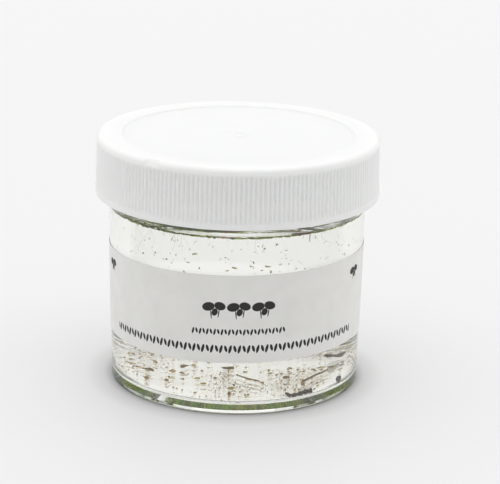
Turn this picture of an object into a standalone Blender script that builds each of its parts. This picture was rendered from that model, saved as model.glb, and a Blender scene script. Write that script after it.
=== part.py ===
"""A clear screw-lid jar of water, with a mat of duckweed floating under its ribbed white lid.

The jar stands on the XY plane with its axis on +Z, and the middle of its label faces -Y.
Lengths below are in millimetres and angles in degrees. MM turns a length into metres.
"""
import math

import bmesh
import bpy
import numpy as np
from mathutils import Matrix, Vector

MM = 0.001

# Jar: injection-moulded clear polystyrene, a little wider at the top than at the foot
BASE_RADIUS = 24.43
DRAFT_DEG = 1.056
WALL = 1.4
JAR_HEIGHT = 46.2
FLOOR_TOP = 2.4
FLOOR_FILLET = 1.0
HEEL_RADIUS = 0.5
RIM_ROUND = 0.35

# Underside of the jar: a narrow standing ring, then a slope up to a raised panel
STANDING_RING_INNER = 22.65
STANDING_RING_STEP = 0.38
STEP_RADIUS = 22.4
PANEL_HEIGHT = 1.28
PANEL_SLOPE_DEG = 24.0

# Lid: white polypropylene with fine upright ribs
LID_BOTTOM = 37.55
LID_TOP = 49.05
LID_RADIUS_LOW = 27.75
LID_RADIUS_HIGH = 27.5
LID_INNER_RADIUS = 26.35
LID_PANEL = 1.2
LID_ROUND = 1.15
LID_EDGE_CHAMFER = 0.3
RIB_COUNT = 192
RIB_DEPTH = 0.28
RIB_SUNK = 0.05
RIB_LOW = 39.1
RIB_HIGH = 47.75
PANEL_RECESS_RADIUS = 22.4
PANEL_RECESS = 0.25

# Thread: one start, six turns to the inch, shared by the jar's neck and the lid
PITCH = 25.4 / 6.0
THREAD_LOW = 39.4
THREAD_TURNS = 1.05
JAR_THREAD_HEIGHT = 0.9
LID_THREAD_OFFSET = 1.5
LID_THREAD_START_DEG = 68.0
LID_THREAD_TURNS = 0.95
LID_THREAD_HEIGHT = 0.85
RIDGE_ROOT_HALF = 0.75
RIDGE_CREST_HALF = 0.4
RIDGE_BURIED = 0.25
RIDGE_FADE_STEPS = 4
RIDGE_END_SHARE = 0.1

# Liner: a loose foam disc between the jar's rim and the lid
LINER_RADIUS = 25.9
LINER_THICKNESS = 1.0

# Label: a paper strip stuck on the front, a little askew
LABEL_BOTTOM = 10.53
LABEL_TOP = 27.9
LABEL_ARC_DEG = 202.0
LABEL_TILT_DEG = 0.8
LABEL_THICKNESS = 0.2

# Water, and the duckweed floating on it
WATER_LEVEL = 34.8
WATER_BOTTOM = 3.8
WATER_CORNER_RISE = 1.7
WATER_CORNER_WIDTH = 2.1
PLANT_PLACES = 46
SPIRAL_RADIUS = 21.4
GOLDEN_ANGLE = math.pi * (3.0 - math.sqrt(5.0))
PLANT_NUDGE = 0.4
PLANT_INSET = 1.4
PLANT_SLACK = 0.02
PLANT_LEAST_REACH = 0.5
FROND_LENGTH = 3.5
FROND_WIDTH_SHARE = 0.74
FROND_OFFSET_SHARE = 0.92
FROND_THICKNESS = 0.45
FROND_EDGE = 0.16
CROWN_SHARE = 0.6
POINTS_PER_PLANT = 18
MAT_CLEARANCE = 0.4
FRONT_MARGIN = 4.6
MARGIN_CENTRE_DEG = -72.0
MARGIN_HALF_DEG = 62.0
BARE_PATCH_X = -16.7
BARE_PATCH_Y = 7.5
BARE_PATCH_RADIUS = 3.6

# Clearances and roundness
GAP = 0.3
STEPS = 64
SMALL_STEPS = 48
THREAD_STEPS = 36
SMOOTH_DEG = 30.0
WELD = 1e-4


def clear_scene():
    """Take away whatever the scene holds."""
    for thing in list(bpy.data.objects):
        bpy.data.objects.remove(thing)


def material(name, colour, roughness, transmission=0.0, ior=1.5):
    """One plain finish with the part's colour, roughness and clearness."""
    finish = bpy.data.materials.new(name)
    finish.use_nodes = True
    shader = finish.node_tree.nodes["Principled BSDF"]
    shader.inputs["Base Color"].default_value = (*colour, 1.0)
    shader.inputs["Roughness"].default_value = roughness
    shader.inputs["Transmission Weight"].default_value = transmission
    shader.inputs["IOR"].default_value = ior
    finish.diffuse_color = (*colour, 1.0)
    return finish


def place(name, bm, finish):
    """Turn a bmesh drawn in millimetres into a named object in metres."""
    bmesh.ops.scale(bm, vec=(MM, MM, MM), verts=bm.verts)
    bmesh.ops.recalc_face_normals(bm, faces=bm.faces)
    mesh = bpy.data.meshes.new(name)
    bm.to_mesh(mesh)
    bm.free()
    mesh.materials.append(finish)
    mesh.shade_smooth()
    mesh.set_sharp_from_angle(angle=math.radians(SMOOTH_DEG))
    thing = bpy.data.objects.new(name, mesh)
    bpy.context.scene.collection.objects.link(thing)
    return thing


def turn(outline, steps):
    """Spin a closed outline of (radius, height) points once round the Z axis."""
    bm = bmesh.new()
    points = [bm.verts.new((radius, 0.0, height)) for radius, height in outline]
    edges = []
    for first, second in zip(points, points[1:] + points[:1]):
        on_axis = first.co.x == 0.0 and second.co.x == 0.0
        if not on_axis:
            edges.append(bm.edges.new((first, second)))
    bmesh.ops.spin(bm, geom=points + edges, cent=(0, 0, 0), axis=(0, 0, 1), dvec=(0, 0, 0),
                   angle=math.tau, steps=steps, use_duplicate=False)
    bmesh.ops.remove_doubles(bm, verts=bm.verts, dist=WELD)
    return bm


def arc(centre, radius, start_deg, end_deg, count):
    """Points along a circular arc in the (radius, height) plane."""
    angles = np.radians(np.linspace(start_deg, end_deg, count))
    return [(centre[0] + radius * math.cos(a), centre[1] + radius * math.sin(a)) for a in angles]


def jar_outer(height):
    """The jar's outside radius at a height."""
    return BASE_RADIUS + height * math.tan(math.radians(DRAFT_DEG))


def jar_inner(height):
    """The jar's inside radius at a height."""
    return jar_outer(height) - WALL


def jar_outline():
    """The jar's half section, from the middle of its underside round to its floor."""
    slope_run = (PANEL_HEIGHT - STANDING_RING_STEP) / math.tan(math.radians(PANEL_SLOPE_DEG))
    underside = [(0.0, PANEL_HEIGHT), (STEP_RADIUS - slope_run, PANEL_HEIGHT),
                 (STEP_RADIUS, STANDING_RING_STEP), (STANDING_RING_INNER, 0.0)]
    heel_centre = (jar_outer(HEEL_RADIUS) - HEEL_RADIUS, HEEL_RADIUS)
    heel = arc(heel_centre, HEEL_RADIUS, -90, 0, 4)
    rim_outer = (jar_outer(JAR_HEIGHT) - RIM_ROUND, JAR_HEIGHT - RIM_ROUND)
    rim_inner = (jar_inner(JAR_HEIGHT) + RIM_ROUND, JAR_HEIGHT - RIM_ROUND)
    rim = arc(rim_outer, RIM_ROUND, 0, 90, 2) + arc(rim_inner, RIM_ROUND, 90, 180, 2)
    fillet_height = FLOOR_TOP + FLOOR_FILLET
    fillet_centre = (jar_inner(fillet_height) - FLOOR_FILLET, fillet_height)
    fillet = arc(fillet_centre, FLOOR_FILLET, 0, -90, 4)
    return underside + heel + rim + fillet + [(0.0, FLOOR_TOP)]


def thread_height(angle_deg):
    """Height of the jar thread's middle at an angle round the neck."""
    return THREAD_LOW + PITCH * angle_deg / 360.0


def ridge(root_radius, crest_radius, start_deg, turns, offset):
    """One thread ridge: a four-sided bar along the helix whose two ends fade into the wall."""
    buried = root_radius - RIDGE_BURIED if crest_radius > root_radius else root_radius + RIDGE_BURIED
    steps = round(turns * THREAD_STEPS)
    bm = bmesh.new()
    rings = []
    for step in range(steps + 1):
        angle_deg = start_deg + 360.0 * turns * step / steps
        height = thread_height(angle_deg) - offset
        share = min(1.0, RIDGE_END_SHARE + min(step, steps - step) / RIDGE_FADE_STEPS)
        crest = root_radius + (crest_radius - root_radius) * share
        corners = [(buried, -RIDGE_ROOT_HALF), (crest, -RIDGE_CREST_HALF),
                   (crest, RIDGE_CREST_HALF), (buried, RIDGE_ROOT_HALF)]
        turned = Matrix.Rotation(math.radians(angle_deg), 4, "Z")
        rings.append([bm.verts.new(turned @ Vector((radius, 0.0, height + rise)))
                      for radius, rise in corners])
    for first, second in zip(rings, rings[1:]):
        for side in range(4):
            after = (side + 1) % 4
            bm.faces.new((first[side], second[side], second[after], first[after]))
    bm.faces.new(rings[0])
    bm.faces.new(rings[-1])
    return bm


def join(body, added):
    """Union a helper solid into a body and hide the helper."""
    union = body.modifiers.new("join " + added.name, "BOOLEAN")
    union.operation = "UNION"
    union.object = added
    added.hide_render = True
    added.display_type = "WIRE"


def make_jar(clear_plastic):
    """The jar with its neck thread."""
    jar = place("jar", turn(jar_outline(), STEPS), clear_plastic)
    neck = jar_outer(THREAD_LOW)
    thread = ridge(neck, neck + JAR_THREAD_HEIGHT, 0.0, THREAD_TURNS, 0.0)
    join(jar, place("jar_thread_helper", thread, clear_plastic))
    return jar


def lid_side(height):
    """Radius of the lid's smooth side at a height: it flares a little towards its open edge."""
    share = (height - LID_BOTTOM) / (LID_TOP - LID_BOTTOM)
    return LID_RADIUS_LOW + (LID_RADIUS_HIGH - LID_RADIUS_LOW) * share


def ring(bm, count, radius_of, height):
    """A ring of points round the axis. radius_of gives each point's radius from its number."""
    points = []
    for number in range(count):
        angle = math.tau * number / count
        radius = radius_of(number)
        points.append(bm.verts.new((radius * math.cos(angle), radius * math.sin(angle), height)))
    return points


def bridge(bm, lower, upper):
    """Faces between two rings of the same count."""
    count = len(lower)
    for number in range(count):
        after = (number + 1) % count
        bm.faces.new((lower[number], lower[after], upper[after], upper[number]))


def step_face(bm, coarse, fine):
    """Flat faces between a coarse ring and a fine ring at one height."""
    share = len(fine) // len(coarse)
    for number in range(len(coarse)):
        after = (number + 1) % len(coarse)
        run = [fine[(number * share + offset) % len(fine)] for offset in range(share + 1)]
        bm.faces.new([coarse[number], *run, coarse[after]])


def make_lid(white_plastic):
    """The lid: smooth edge bands, upright ribs, a recessed top and the inner thread."""
    band_steps = RIB_COUNT // 3
    bm = bmesh.new()

    def smooth(radius, height):
        return ring(bm, band_steps, lambda number: radius, height)

    def ribbed(height):
        crest = lid_side(height) - RIB_SUNK
        return ring(bm, 2 * RIB_COUNT, lambda number: crest - RIB_DEPTH * (number % 2), height)

    panel_under = LID_TOP - LID_PANEL
    chamfer_top = LID_BOTTOM + LID_EDGE_CHAMFER
    inner_low = smooth(LID_INNER_RADIUS, LID_BOTTOM)
    edge_low = smooth(lid_side(LID_BOTTOM) - LID_EDGE_CHAMFER, LID_BOTTOM)
    side_low = smooth(lid_side(chamfer_top), chamfer_top)
    band_low = smooth(lid_side(RIB_LOW), RIB_LOW)
    rib_low = ribbed(RIB_LOW)
    rib_high = ribbed(RIB_HIGH)
    band_high = smooth(lid_side(RIB_HIGH), RIB_HIGH)
    bridge(bm, inner_low, edge_low)
    bridge(bm, edge_low, side_low)
    bridge(bm, side_low, band_low)
    step_face(bm, band_low, rib_low)
    bridge(bm, rib_low, rib_high)
    step_face(bm, band_high, rib_high)
    round_centre = (lid_side(LID_TOP) - LID_ROUND, LID_TOP - LID_ROUND)
    last = band_high
    for radius, height in arc(round_centre, LID_ROUND, 8, 90, 3):
        shoulder = smooth(radius, height)
        bridge(bm, last, shoulder)
        last = shoulder
    recess_edge = smooth(PANEL_RECESS_RADIUS, LID_TOP)
    recess = smooth(PANEL_RECESS_RADIUS - PANEL_RECESS, LID_TOP - PANEL_RECESS)
    bridge(bm, last, recess_edge)
    bridge(bm, recess_edge, recess)
    bm.faces.new(recess)
    inner_high = smooth(LID_INNER_RADIUS, panel_under)
    bridge(bm, inner_high, inner_low)
    bm.faces.new(inner_high)

    lid = place("lid", bm, white_plastic)
    thread = ridge(LID_INNER_RADIUS, LID_INNER_RADIUS - LID_THREAD_HEIGHT,
                   LID_THREAD_START_DEG, LID_THREAD_TURNS, LID_THREAD_OFFSET)
    join(lid, place("lid_thread_helper", thread, white_plastic))
    return lid


def make_liner(foam):
    """The foam disc that seals the rim. It lifts with the lid but need not turn with it."""
    low = JAR_HEIGHT + GAP
    high = low + LINER_THICKNESS
    outline = [(0.0, low), (LINER_RADIUS, low), (LINER_RADIUS, high), (0.0, high)]
    return place("lid_liner", turn(outline, SMALL_STEPS), foam)


def make_label(paper):
    """The paper strip, following the jar's slight taper, its edges tipped a little askew."""
    columns = 36
    half = math.radians(LABEL_ARC_DEG) / 2.0
    tilt = math.tan(math.radians(LABEL_TILT_DEG))
    bm = bmesh.new()
    sections = []
    for column in range(columns + 1):
        angle = -math.pi / 2.0 - half + 2.0 * half * column / columns
        section = []
        corners = ((LABEL_BOTTOM, GAP), (LABEL_BOTTOM, GAP + LABEL_THICKNESS),
                   (LABEL_TOP, GAP + LABEL_THICKNESS), (LABEL_TOP, GAP))
        for height, lift in corners:
            tipped = height + jar_outer(height) * math.cos(angle) * tilt
            radius = jar_outer(tipped) + lift
            section.append(bm.verts.new((radius * math.cos(angle), radius * math.sin(angle), tipped)))
        sections.append(section)
    for first, second in zip(sections, sections[1:]):
        for side in range(4):
            after = (side + 1) % 4
            bm.faces.new((first[side], second[side], second[after], first[after]))
    bm.faces.new(sections[0])
    bm.faces.new(sections[-1])
    return place("label", bm, paper)


def make_water(water):
    """The water, clear of the wall, of the bits below it and of the plants above it."""
    top = WATER_LEVEL - GAP
    corner_height = WATER_BOTTOM + WATER_CORNER_RISE
    corner_radius = jar_inner(corner_height) - GAP
    outline = [(0.0, WATER_BOTTOM), (corner_radius - WATER_CORNER_WIDTH, WATER_BOTTOM),
               (corner_radius, corner_height), (jar_inner(top) - GAP, top), (0.0, top)]
    return place("water", turn(outline, SMALL_STEPS), water)


def mat_reach(angle):
    """How far the mat reaches from the axis at an angle: less along the clear margin in front."""
    away = math.degrees(math.remainder(angle - math.radians(MARGIN_CENTRE_DEG), math.tau))
    share = min(1.0, abs(away) / MARGIN_HALF_DEG)
    opening = math.cos(0.5 * math.pi * share)
    return jar_inner(WATER_LEVEL) - MAT_CLEARANCE - FRONT_MARGIN * opening


def plant_centres():
    """Plant places: a sunflower spiral, which fills a disc evenly, each nudged a little.

    Places in the clear margin or in the bare patch stay empty.
    """
    spread = np.random.default_rng(11)
    centres = []
    for number in range(PLANT_PLACES):
        distance = SPIRAL_RADIUS * math.sqrt((number + 0.5) / PLANT_PLACES)
        angle = number * GOLDEN_ANGLE
        nudge = spread.uniform(-PLANT_NUDGE, PLANT_NUDGE, 2)
        x = distance * math.cos(angle) + nudge[0]
        y = distance * math.sin(angle) + nudge[1]
        in_mat = math.hypot(x, y) < mat_reach(math.atan2(y, x)) - PLANT_INSET
        in_patch = math.hypot(x - BARE_PATCH_X, y - BARE_PATCH_Y) < BARE_PATCH_RADIUS
        if in_mat and not in_patch:
            centres.append((x, y))
    return centres


def frond_reach(direction, heading, length):
    """Distance from the plant's middle to one oval frond's edge, in a direction."""
    half_length = length / 2.0
    half_width = half_length * FROND_WIDTH_SHARE
    offset = FROND_OFFSET_SHARE * half_length
    cosine = math.cos(direction - heading)
    sine = math.sin(direction - heading)
    square = (cosine / half_length) ** 2 + (sine / half_width) ** 2
    under_root = square - (offset * sine / (half_length * half_width)) ** 2
    return (offset * cosine / half_length ** 2 + math.sqrt(max(under_root, 0.0))) / square


def plant_reach(direction, fronds, centre, others):
    """Distance to the plant's edge, held back from its neighbours and from the mat's edge."""
    reach = max(frond_reach(direction, heading, length) for heading, length in fronds)
    for other in others:
        gap_x = other[0] - centre[0]
        gap_y = other[1] - centre[1]
        distance = math.hypot(gap_x, gap_y)
        facing = math.cos(direction - math.atan2(gap_y, gap_x))
        if facing > 0.0:
            reach = min(reach, (distance / 2.0 - GAP / 2.0 - PLANT_SLACK) / facing)
    while reach > PLANT_LEAST_REACH:
        x = centre[0] + reach * math.cos(direction)
        y = centre[1] + reach * math.sin(direction)
        if math.hypot(x, y) <= mat_reach(math.atan2(y, x)):
            break
        reach -= 0.1
    return reach


def make_plant(name, centre, others, spread, green):
    """One duckweed plant: three or four small oval fronds grown together at a point."""
    count = int(spread.integers(3, 5))
    first = spread.uniform(0.0, math.tau)
    fronds = []
    for number in range(count):
        heading = first + math.tau * number / count + spread.uniform(-0.15, 0.15)
        fronds.append((heading, FROND_LENGTH * spread.uniform(0.8, 1.0)))
    bm = bmesh.new()
    rim = []
    ridge_line = []
    for number in range(POINTS_PER_PLANT):
        direction = first + math.tau * number / POINTS_PER_PLANT
        reach = plant_reach(direction, fronds, centre, others)
        across = Vector((math.cos(direction), math.sin(direction), 0.0))
        middle = Vector((centre[0], centre[1], WATER_LEVEL))
        rim.append(bm.verts.new(middle + across * reach + Vector((0.0, 0.0, FROND_EDGE))))
        crown = Vector((0.0, 0.0, FROND_THICKNESS))
        ridge_line.append(bm.verts.new(middle + across * reach * CROWN_SHARE + crown))
    top = bm.verts.new((centre[0], centre[1], WATER_LEVEL + 0.8 * FROND_THICKNESS))
    bottom = bm.verts.new((centre[0], centre[1], WATER_LEVEL))
    for number in range(POINTS_PER_PLANT):
        after = (number + 1) % POINTS_PER_PLANT
        bm.faces.new((rim[number], rim[after], ridge_line[after], ridge_line[number]))
        bm.faces.new((ridge_line[number], ridge_line[after], top))
        bm.faces.new((rim[after], rim[number], bottom))
    return place(name, bm, green)


def make_plants(green):
    """The floating mat, one node for each plant."""
    spread = np.random.default_rng(23)
    centres = plant_centres()
    for number, centre in enumerate(centres, start=1):
        others = [other for other in centres if other != centre]
        make_plant(f"duckweed_plant_{number:02d}", centre, others, spread, green)


def make_twig(name, points, radius, finish, sides=6):
    """A bent twig: a round bar along a few points, thinner towards its far end."""
    path = [Vector(point) for point in points]
    bm = bmesh.new()
    rings = []
    for number, point in enumerate(path):
        before = path[max(number - 1, 0)]
        after = path[min(number + 1, len(path) - 1)]
        along = (after - before).normalized()
        side = along.cross(Vector((0.0, 0.0, 1.0))).normalized()
        up = side.cross(along)
        local = radius * (1.0 - 0.45 * number / (len(path) - 1))
        section = []
        for corner in range(sides):
            angle = math.tau * (corner + 0.5) / sides
            section.append(bm.verts.new(point + (side * math.cos(angle) + up * math.sin(angle)) * local))
        rings.append(section)
    for first, second in zip(rings, rings[1:]):
        bridge(bm, first, second)
    bm.faces.new(rings[0])
    bm.faces.new(rings[-1])
    return place(name, bm, finish)


def make_scrap(name, centre, length, width, thickness, turn_deg, finish, seed, sides=9):
    """A scrap of dead leaf: a flat uneven oval that lies on the jar's floor."""
    spread = np.random.default_rng(seed)
    bm = bmesh.new()
    outline = []
    for number in range(sides):
        angle = math.tau * number / sides
        uneven = spread.uniform(0.78, 1.0)
        x = 0.5 * length * uneven * math.cos(angle)
        y = 0.5 * width * uneven * math.sin(angle)
        outline.append(bm.verts.new((x, y, 0.0)))
    lower = bm.faces.new(outline)
    raised = bmesh.ops.extrude_face_region(bm, geom=[lower])["geom"]
    upper = [piece for piece in raised if isinstance(piece, bmesh.types.BMVert)]
    bmesh.ops.translate(bm, vec=(0.0, 0.0, thickness), verts=upper)
    placed = Matrix.Translation(centre) @ Matrix.Rotation(math.radians(turn_deg), 4, "Z")
    bmesh.ops.transform(bm, matrix=placed, verts=bm.verts)
    return place(name, bm, finish)


def make_husk(name, centre, radius, thickness, facing_deg, finish):
    """A round seed husk with a hollow middle, standing on edge against the wall."""
    hole = 0.45 * radius
    outer_half = 0.35 * thickness
    ring_outline = [(hole, -0.5 * thickness), (radius, -outer_half),
                    (radius, outer_half), (hole, 0.5 * thickness)]
    bm = turn(ring_outline, 12)
    upright = Matrix.Rotation(math.radians(90.0), 4, "Y")
    facing = Matrix.Rotation(math.radians(facing_deg), 4, "Z")
    bmesh.ops.transform(bm, matrix=Matrix.Translation(centre) @ facing @ upright, verts=bm.verts)
    return place(name, bm, finish)


def make_litter(bark, dead_leaf):
    """The twigs and scraps that sank to the jar's floor, and one twig afloat at the front."""
    rest = FLOOR_TOP + GAP
    make_twig("stick_front", [(14.6, -16.9, rest + 0.42), (13.0, -18.0, rest + 0.42),
                              (11.9, -18.6, rest + 0.42), (10.9, -19.3, rest + 0.3)], 0.4, bark)
    make_twig("twig_long", [(11.6, -11.2, rest + 0.3), (12.4, -8.6, rest + 0.3),
                            (13.2, -6.2, rest + 0.3), (14.7, -2.4, rest + 0.25)], 0.28, bark)
    make_twig("root_strand", [(0.4, -4.3, rest + 0.2), (1.9, -6.8, rest + 0.2),
                              (3.9, -8.9, rest + 0.2), (4.8, -11.0, rest + 0.2)], 0.18, bark, sides=5)
    make_scrap("leaf_chip_dark", (13.0, 8.2, rest), 4.6, 3.3, 0.7, 70.0, dead_leaf, 1)
    make_scrap("leaf_scrap_left", (-13.5, -4.2, rest), 2.6, 1.5, 0.5, -35.0, dead_leaf, 2)
    make_scrap("leaf_scrap_middle", (-7.2, 0.9, rest), 2.9, 1.1, 0.45, 60.0, dead_leaf, 3)
    make_scrap("leaf_scrap_back", (-0.9, 1.0, rest), 2.2, 1.5, 0.4, 15.0, dead_leaf, 4)
    make_husk("seed_husk", (18.7, -10.6, rest + 0.8), 0.8, 0.6, -30.0, bark)
    afloat = WATER_LEVEL + 0.25
    make_twig("twig_afloat", [(10.4, -20.3, afloat), (12.2, -19.6, afloat + 0.1),
                              (14.1, -18.2, afloat), (15.4, -17.0, afloat - 0.1)], 0.22, bark, sides=5)


def main():
    clear_scene()
    clear_plastic = material("clear polystyrene", (0.92, 0.95, 0.95), 0.05, 1.0, 1.59)
    white_plastic = material("white polypropylene", (0.84, 0.85, 0.85), 0.42)
    foam = material("white liner foam", (0.8, 0.8, 0.78), 0.8)
    paper = material("label paper", (0.66, 0.66, 0.65), 0.7)
    clear_water = material("water", (0.95, 0.98, 0.98), 0.0, 1.0, 1.333)
    green = material("duckweed frond", (0.24, 0.36, 0.08), 0.5)
    bark = material("wet bark", (0.09, 0.07, 0.04), 0.7)
    dead_leaf = material("dead leaf", (0.13, 0.11, 0.06), 0.75)
    make_jar(clear_plastic)
    make_lid(white_plastic)
    make_liner(foam)
    make_label(paper)
    make_water(clear_water)
    make_plants(green)
    make_litter(bark, dead_leaf)


main()
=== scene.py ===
"""Duckweed in a screw-lid jar of water: how each piece looks, built around the fixed frame.

Lengths are in millimetres unless a name says metres. The jar stands on the XY plane with its
axis on +Z, and the middle of its label faces -Y.
"""

# %% [markdown]
# # Duckweed in a jar
# The object is a small clear jar of water with a ribbed white lid. Duckweed floats in it as a mat
# just under the lid. Most of what the eye gets is made by light that bends: the green strip at the
# jar's foot is the mat, mirrored in the slope of the base. So the clear pieces are modelled as
# exact turned shapes, and nothing green is painted where the strip shows.

# %% Load the fixed frame
import math

import bpy
import numpy as np
from mathutils import Matrix, Vector


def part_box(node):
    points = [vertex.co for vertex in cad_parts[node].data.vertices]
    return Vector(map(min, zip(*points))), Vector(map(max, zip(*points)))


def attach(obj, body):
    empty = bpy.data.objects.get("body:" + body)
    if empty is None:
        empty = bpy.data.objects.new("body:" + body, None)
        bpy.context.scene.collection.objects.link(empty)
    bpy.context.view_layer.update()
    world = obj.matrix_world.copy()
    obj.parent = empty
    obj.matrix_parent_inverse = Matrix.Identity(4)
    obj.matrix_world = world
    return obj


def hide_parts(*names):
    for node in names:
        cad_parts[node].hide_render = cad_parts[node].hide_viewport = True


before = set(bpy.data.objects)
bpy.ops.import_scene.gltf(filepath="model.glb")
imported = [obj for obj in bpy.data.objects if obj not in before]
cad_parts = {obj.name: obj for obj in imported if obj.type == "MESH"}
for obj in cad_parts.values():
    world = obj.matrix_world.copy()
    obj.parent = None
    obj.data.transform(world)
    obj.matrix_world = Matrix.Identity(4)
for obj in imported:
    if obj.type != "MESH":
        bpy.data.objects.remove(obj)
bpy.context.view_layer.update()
MM = 0.001
FULL_TURN = 6.28


def box_mm(node):
    """The lowest and highest corner of a solid of the frame, in millimetres."""
    low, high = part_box(node)
    return np.array(low) / MM, np.array(high) / MM


print("solids in the frame:", len(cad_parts))

# %% [markdown]
# ## Sizes
# The frame gives the heights and the lid's width. The rest are the same driving sizes that the
# solids use.

# %% Sizes shared by the pieces
JAR_HEIGHT = box_mm("jar")[1][2]
LID_LOW = box_mm("lid")[0][2]
LID_RADIUS_LOW, _, LID_HIGH = box_mm("lid")[1]
WATER_LEVEL = box_mm("duckweed_plant_01")[0][2]
LINER_LOW, LINER_HIGH = (corner[2] for corner in box_mm("lid_liner"))

FOOT_RADIUS = 24.43
DRAFT = math.tan(math.radians(1.056))
WALL = 1.4
FLOOR_TOP = 2.4
FLOOR_FILLET = 0.15
HEEL = 0.5
PITCH = 25.4 / 6.0
ROUND_STEPS = 256

print(f"jar {JAR_HEIGHT:.1f}, lid {LID_LOW:.2f} to {LID_HIGH:.2f}, water at {WATER_LEVEL:.2f} mm")


def outer(height):
    """The jar's outside radius at a height: a straight cone, a little wider at the top."""
    return FOOT_RADIUS + np.asarray(height) * DRAFT


def inner(height):
    """The jar's inside radius at a height."""
    return outer(height) - WALL


# %% [markdown]
# ## From arrays to meshes
# Every new piece is a surface worked out with numpy. A grid of points becomes quads by index
# arithmetic, with no loop over points. One function puts the arrays into a mesh, so that each
# piece is made, shaded and fastened to its body in the same way.

# %% Grids and turned shapes
def smoothstep(low, high, value):
    """0 below low, 1 above high, and 3t^2 - 2t^3 between them."""
    share = np.clip((value - low) / (high - low), 0.0, 1.0)
    return share * share * (3.0 - 2.0 * share)


def polar(radius, angle):
    """Points (r cos a, r sin a)."""
    return np.stack((radius * np.cos(angle), radius * np.sin(angle)), -1)


def heading(angle, rise=0.0):
    """Vectors (cos a, sin a, rise)."""
    return np.stack((np.cos(angle), np.sin(angle), rise + 0.0 * angle), -1)


def sideways(angle, rise=0.0):
    """Vectors (-sin a, cos a, rise), a quarter turn on from heading."""
    return np.stack((-np.sin(angle), np.cos(angle), rise + 0.0 * angle), -1)


def unit(vectors):
    """Vectors brought to length one."""
    return vectors / np.linalg.norm(vectors, axis=-1, keepdims=True)


def quads(rows, columns, wrap_rows=False):
    """Corner numbers of a grid's faces. Point (row, column) is row * columns + column; columns wrap."""
    row = np.arange(rows if wrap_rows else rows - 1)[:, None]
    column = np.arange(columns)[None, :]
    after_row, after_column = (row + 1) % rows, (column + 1) % columns
    corners = (row * columns + column, row * columns + after_column,
               after_row * columns + after_column, after_row * columns + column)
    return np.stack(np.broadcast_arrays(*corners), -1).reshape(-1, 4)


def fan(pole, ring, outward):
    """Triangles from a pole to a ring of point numbers, turned so that they face out."""
    after = np.roll(ring, -1)
    poles = np.full_like(ring, pole)
    return np.stack((poles, after, ring) if outward else (poles, ring, after), -1)


def capped(rings):
    """A closed surface from rings of points, shape (rows, columns, 3), and a point at each end."""
    rows, columns = rings.shape[:2]
    points = np.concatenate((rings.reshape(-1, 3), rings[:1].mean(1), rings[-1:].mean(1)))
    number = np.arange(rows * columns)
    return points, [quads(rows, columns), fan(rows * columns, number[:columns], True),
                    fan(rows * columns + 1, number[-columns:], False)]


def turned(radius, height, columns):
    """A surface of revolution: (r cos a, r sin a, z) with a = 2 pi column / columns.

    radius and height have one value a row, or one a row and column. The ends close on the axis.
    """
    angle = 2.0 * np.pi * np.arange(columns) / columns
    radius, height = (np.broadcast_to(np.asarray(values, float).reshape(len(values), -1),
                                      (len(values), columns)) for values in (radius, height))
    return capped(np.dstack((polar(radius, angle), height)))


def arc(centre_radius, centre_height, size, start_deg, end_deg, count):
    """Points of a round corner in the (radius, height) plane, as two columns."""
    turn = np.radians(np.linspace(start_deg, end_deg, count))
    return np.array((centre_radius, centre_height)) + polar(size, turn)


# %% The piece maker
def volume_of(points, faces):
    """The volume inside a closed surface, by the sum of its faces' signed cones."""
    total = 0.0
    for group in faces:
        for second in range(1, group.shape[1] - 1):
            corners = (points[group[:, place]] for place in (0, second, second + 1))
            first, *others = corners
            total += np.einsum("ij,ij->", first, np.cross(*others))
    return total / 6.0


def make_piece(name, points, faces, finishes, slot, stands_for=(), body="jar", sharp_deg=180.0,
               values=None, finish_of_face=None, flat_map=None):
    """One finished piece from points in mm and a list of face arrays.

    values are named numbers a point, which the finish reads as attributes. flat_map has two
    numbers a point, for the piece's UV map.
    """
    mesh = bpy.data.meshes.new(name)
    mesh.from_pydata((points * MM).tolist(), [], [face for group in faces for face in group.tolist()])
    for finish in finishes:
        mesh.materials.append(finish)
    if finish_of_face is not None:
        mesh.polygons.foreach_set("material_index", np.asarray(finish_of_face, np.int32))
    for label, numbers in (values or {}).items():
        attribute = mesh.attributes.new(label, "FLOAT", "POINT")
        attribute.data.foreach_set("value", np.asarray(numbers, np.float32))
    if flat_map is not None:
        corners = np.empty(len(mesh.loops), np.int32)
        mesh.loops.foreach_get("vertex_index", corners)
        flat = mesh.uv_layers.new(name="flat")
        flat.data.foreach_set("uv", flat_map[corners].astype(np.float32).ravel())
    mesh.shade_smooth()
    if sharp_deg < 180.0:
        mesh.set_sharp_from_angle(angle=math.radians(sharp_deg))
    mesh.validate()
    piece = bpy.data.objects.new(name, mesh)
    bpy.context.scene.collection.objects.link(piece)
    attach(piece, body)
    if stands_for:
        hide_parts(*stands_for)
    print(f"{name}: {len(mesh.polygons)} faces, {volume_of(points, faces) / 1000.0:.4f} cm3")


def toned_piece(name, made, tones, finish, slot):
    """A piece of many pads, each with its own tone, from what pads or grains gives."""
    points, faces, marks, per_pad = made
    make_piece(name, points, faces, [finish], slot, values={"tone": np.repeat(tones, per_pad), **marks})


# %% [markdown]
# ## Finishes
# One function turns an sRGB hex colour to the linear values that the shader wants, and one adds a
# node with its settings and links. Patterns read Object coordinates, which are in metres, so a
# pattern's scale is 1 over its real size in metres.

# %% Colours and nodes
def linear(code):
    """Linear RGBA from an sRGB hex colour."""
    values = [int(code[place:place + 2], 16) / 255.0 for place in (1, 3, 5)]
    return (*[v / 12.92 if v <= 0.04045 else ((v + 0.055) / 1.055) ** 2.4 for v in values], 1.0)


def per_mm(size):
    """The scale of a pattern whose features are size millimetres across."""
    return 1.0 / (size * MM)


def plug(tree, socket, value):
    """Feeds a socket with a value, an output, or a node, which stands for its first output."""
    if isinstance(value, bpy.types.Node):
        value = value.outputs[0]
    if isinstance(value, bpy.types.NodeSocket):
        tree.links.new(value, socket)
    else:
        socket.default_value = value


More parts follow.
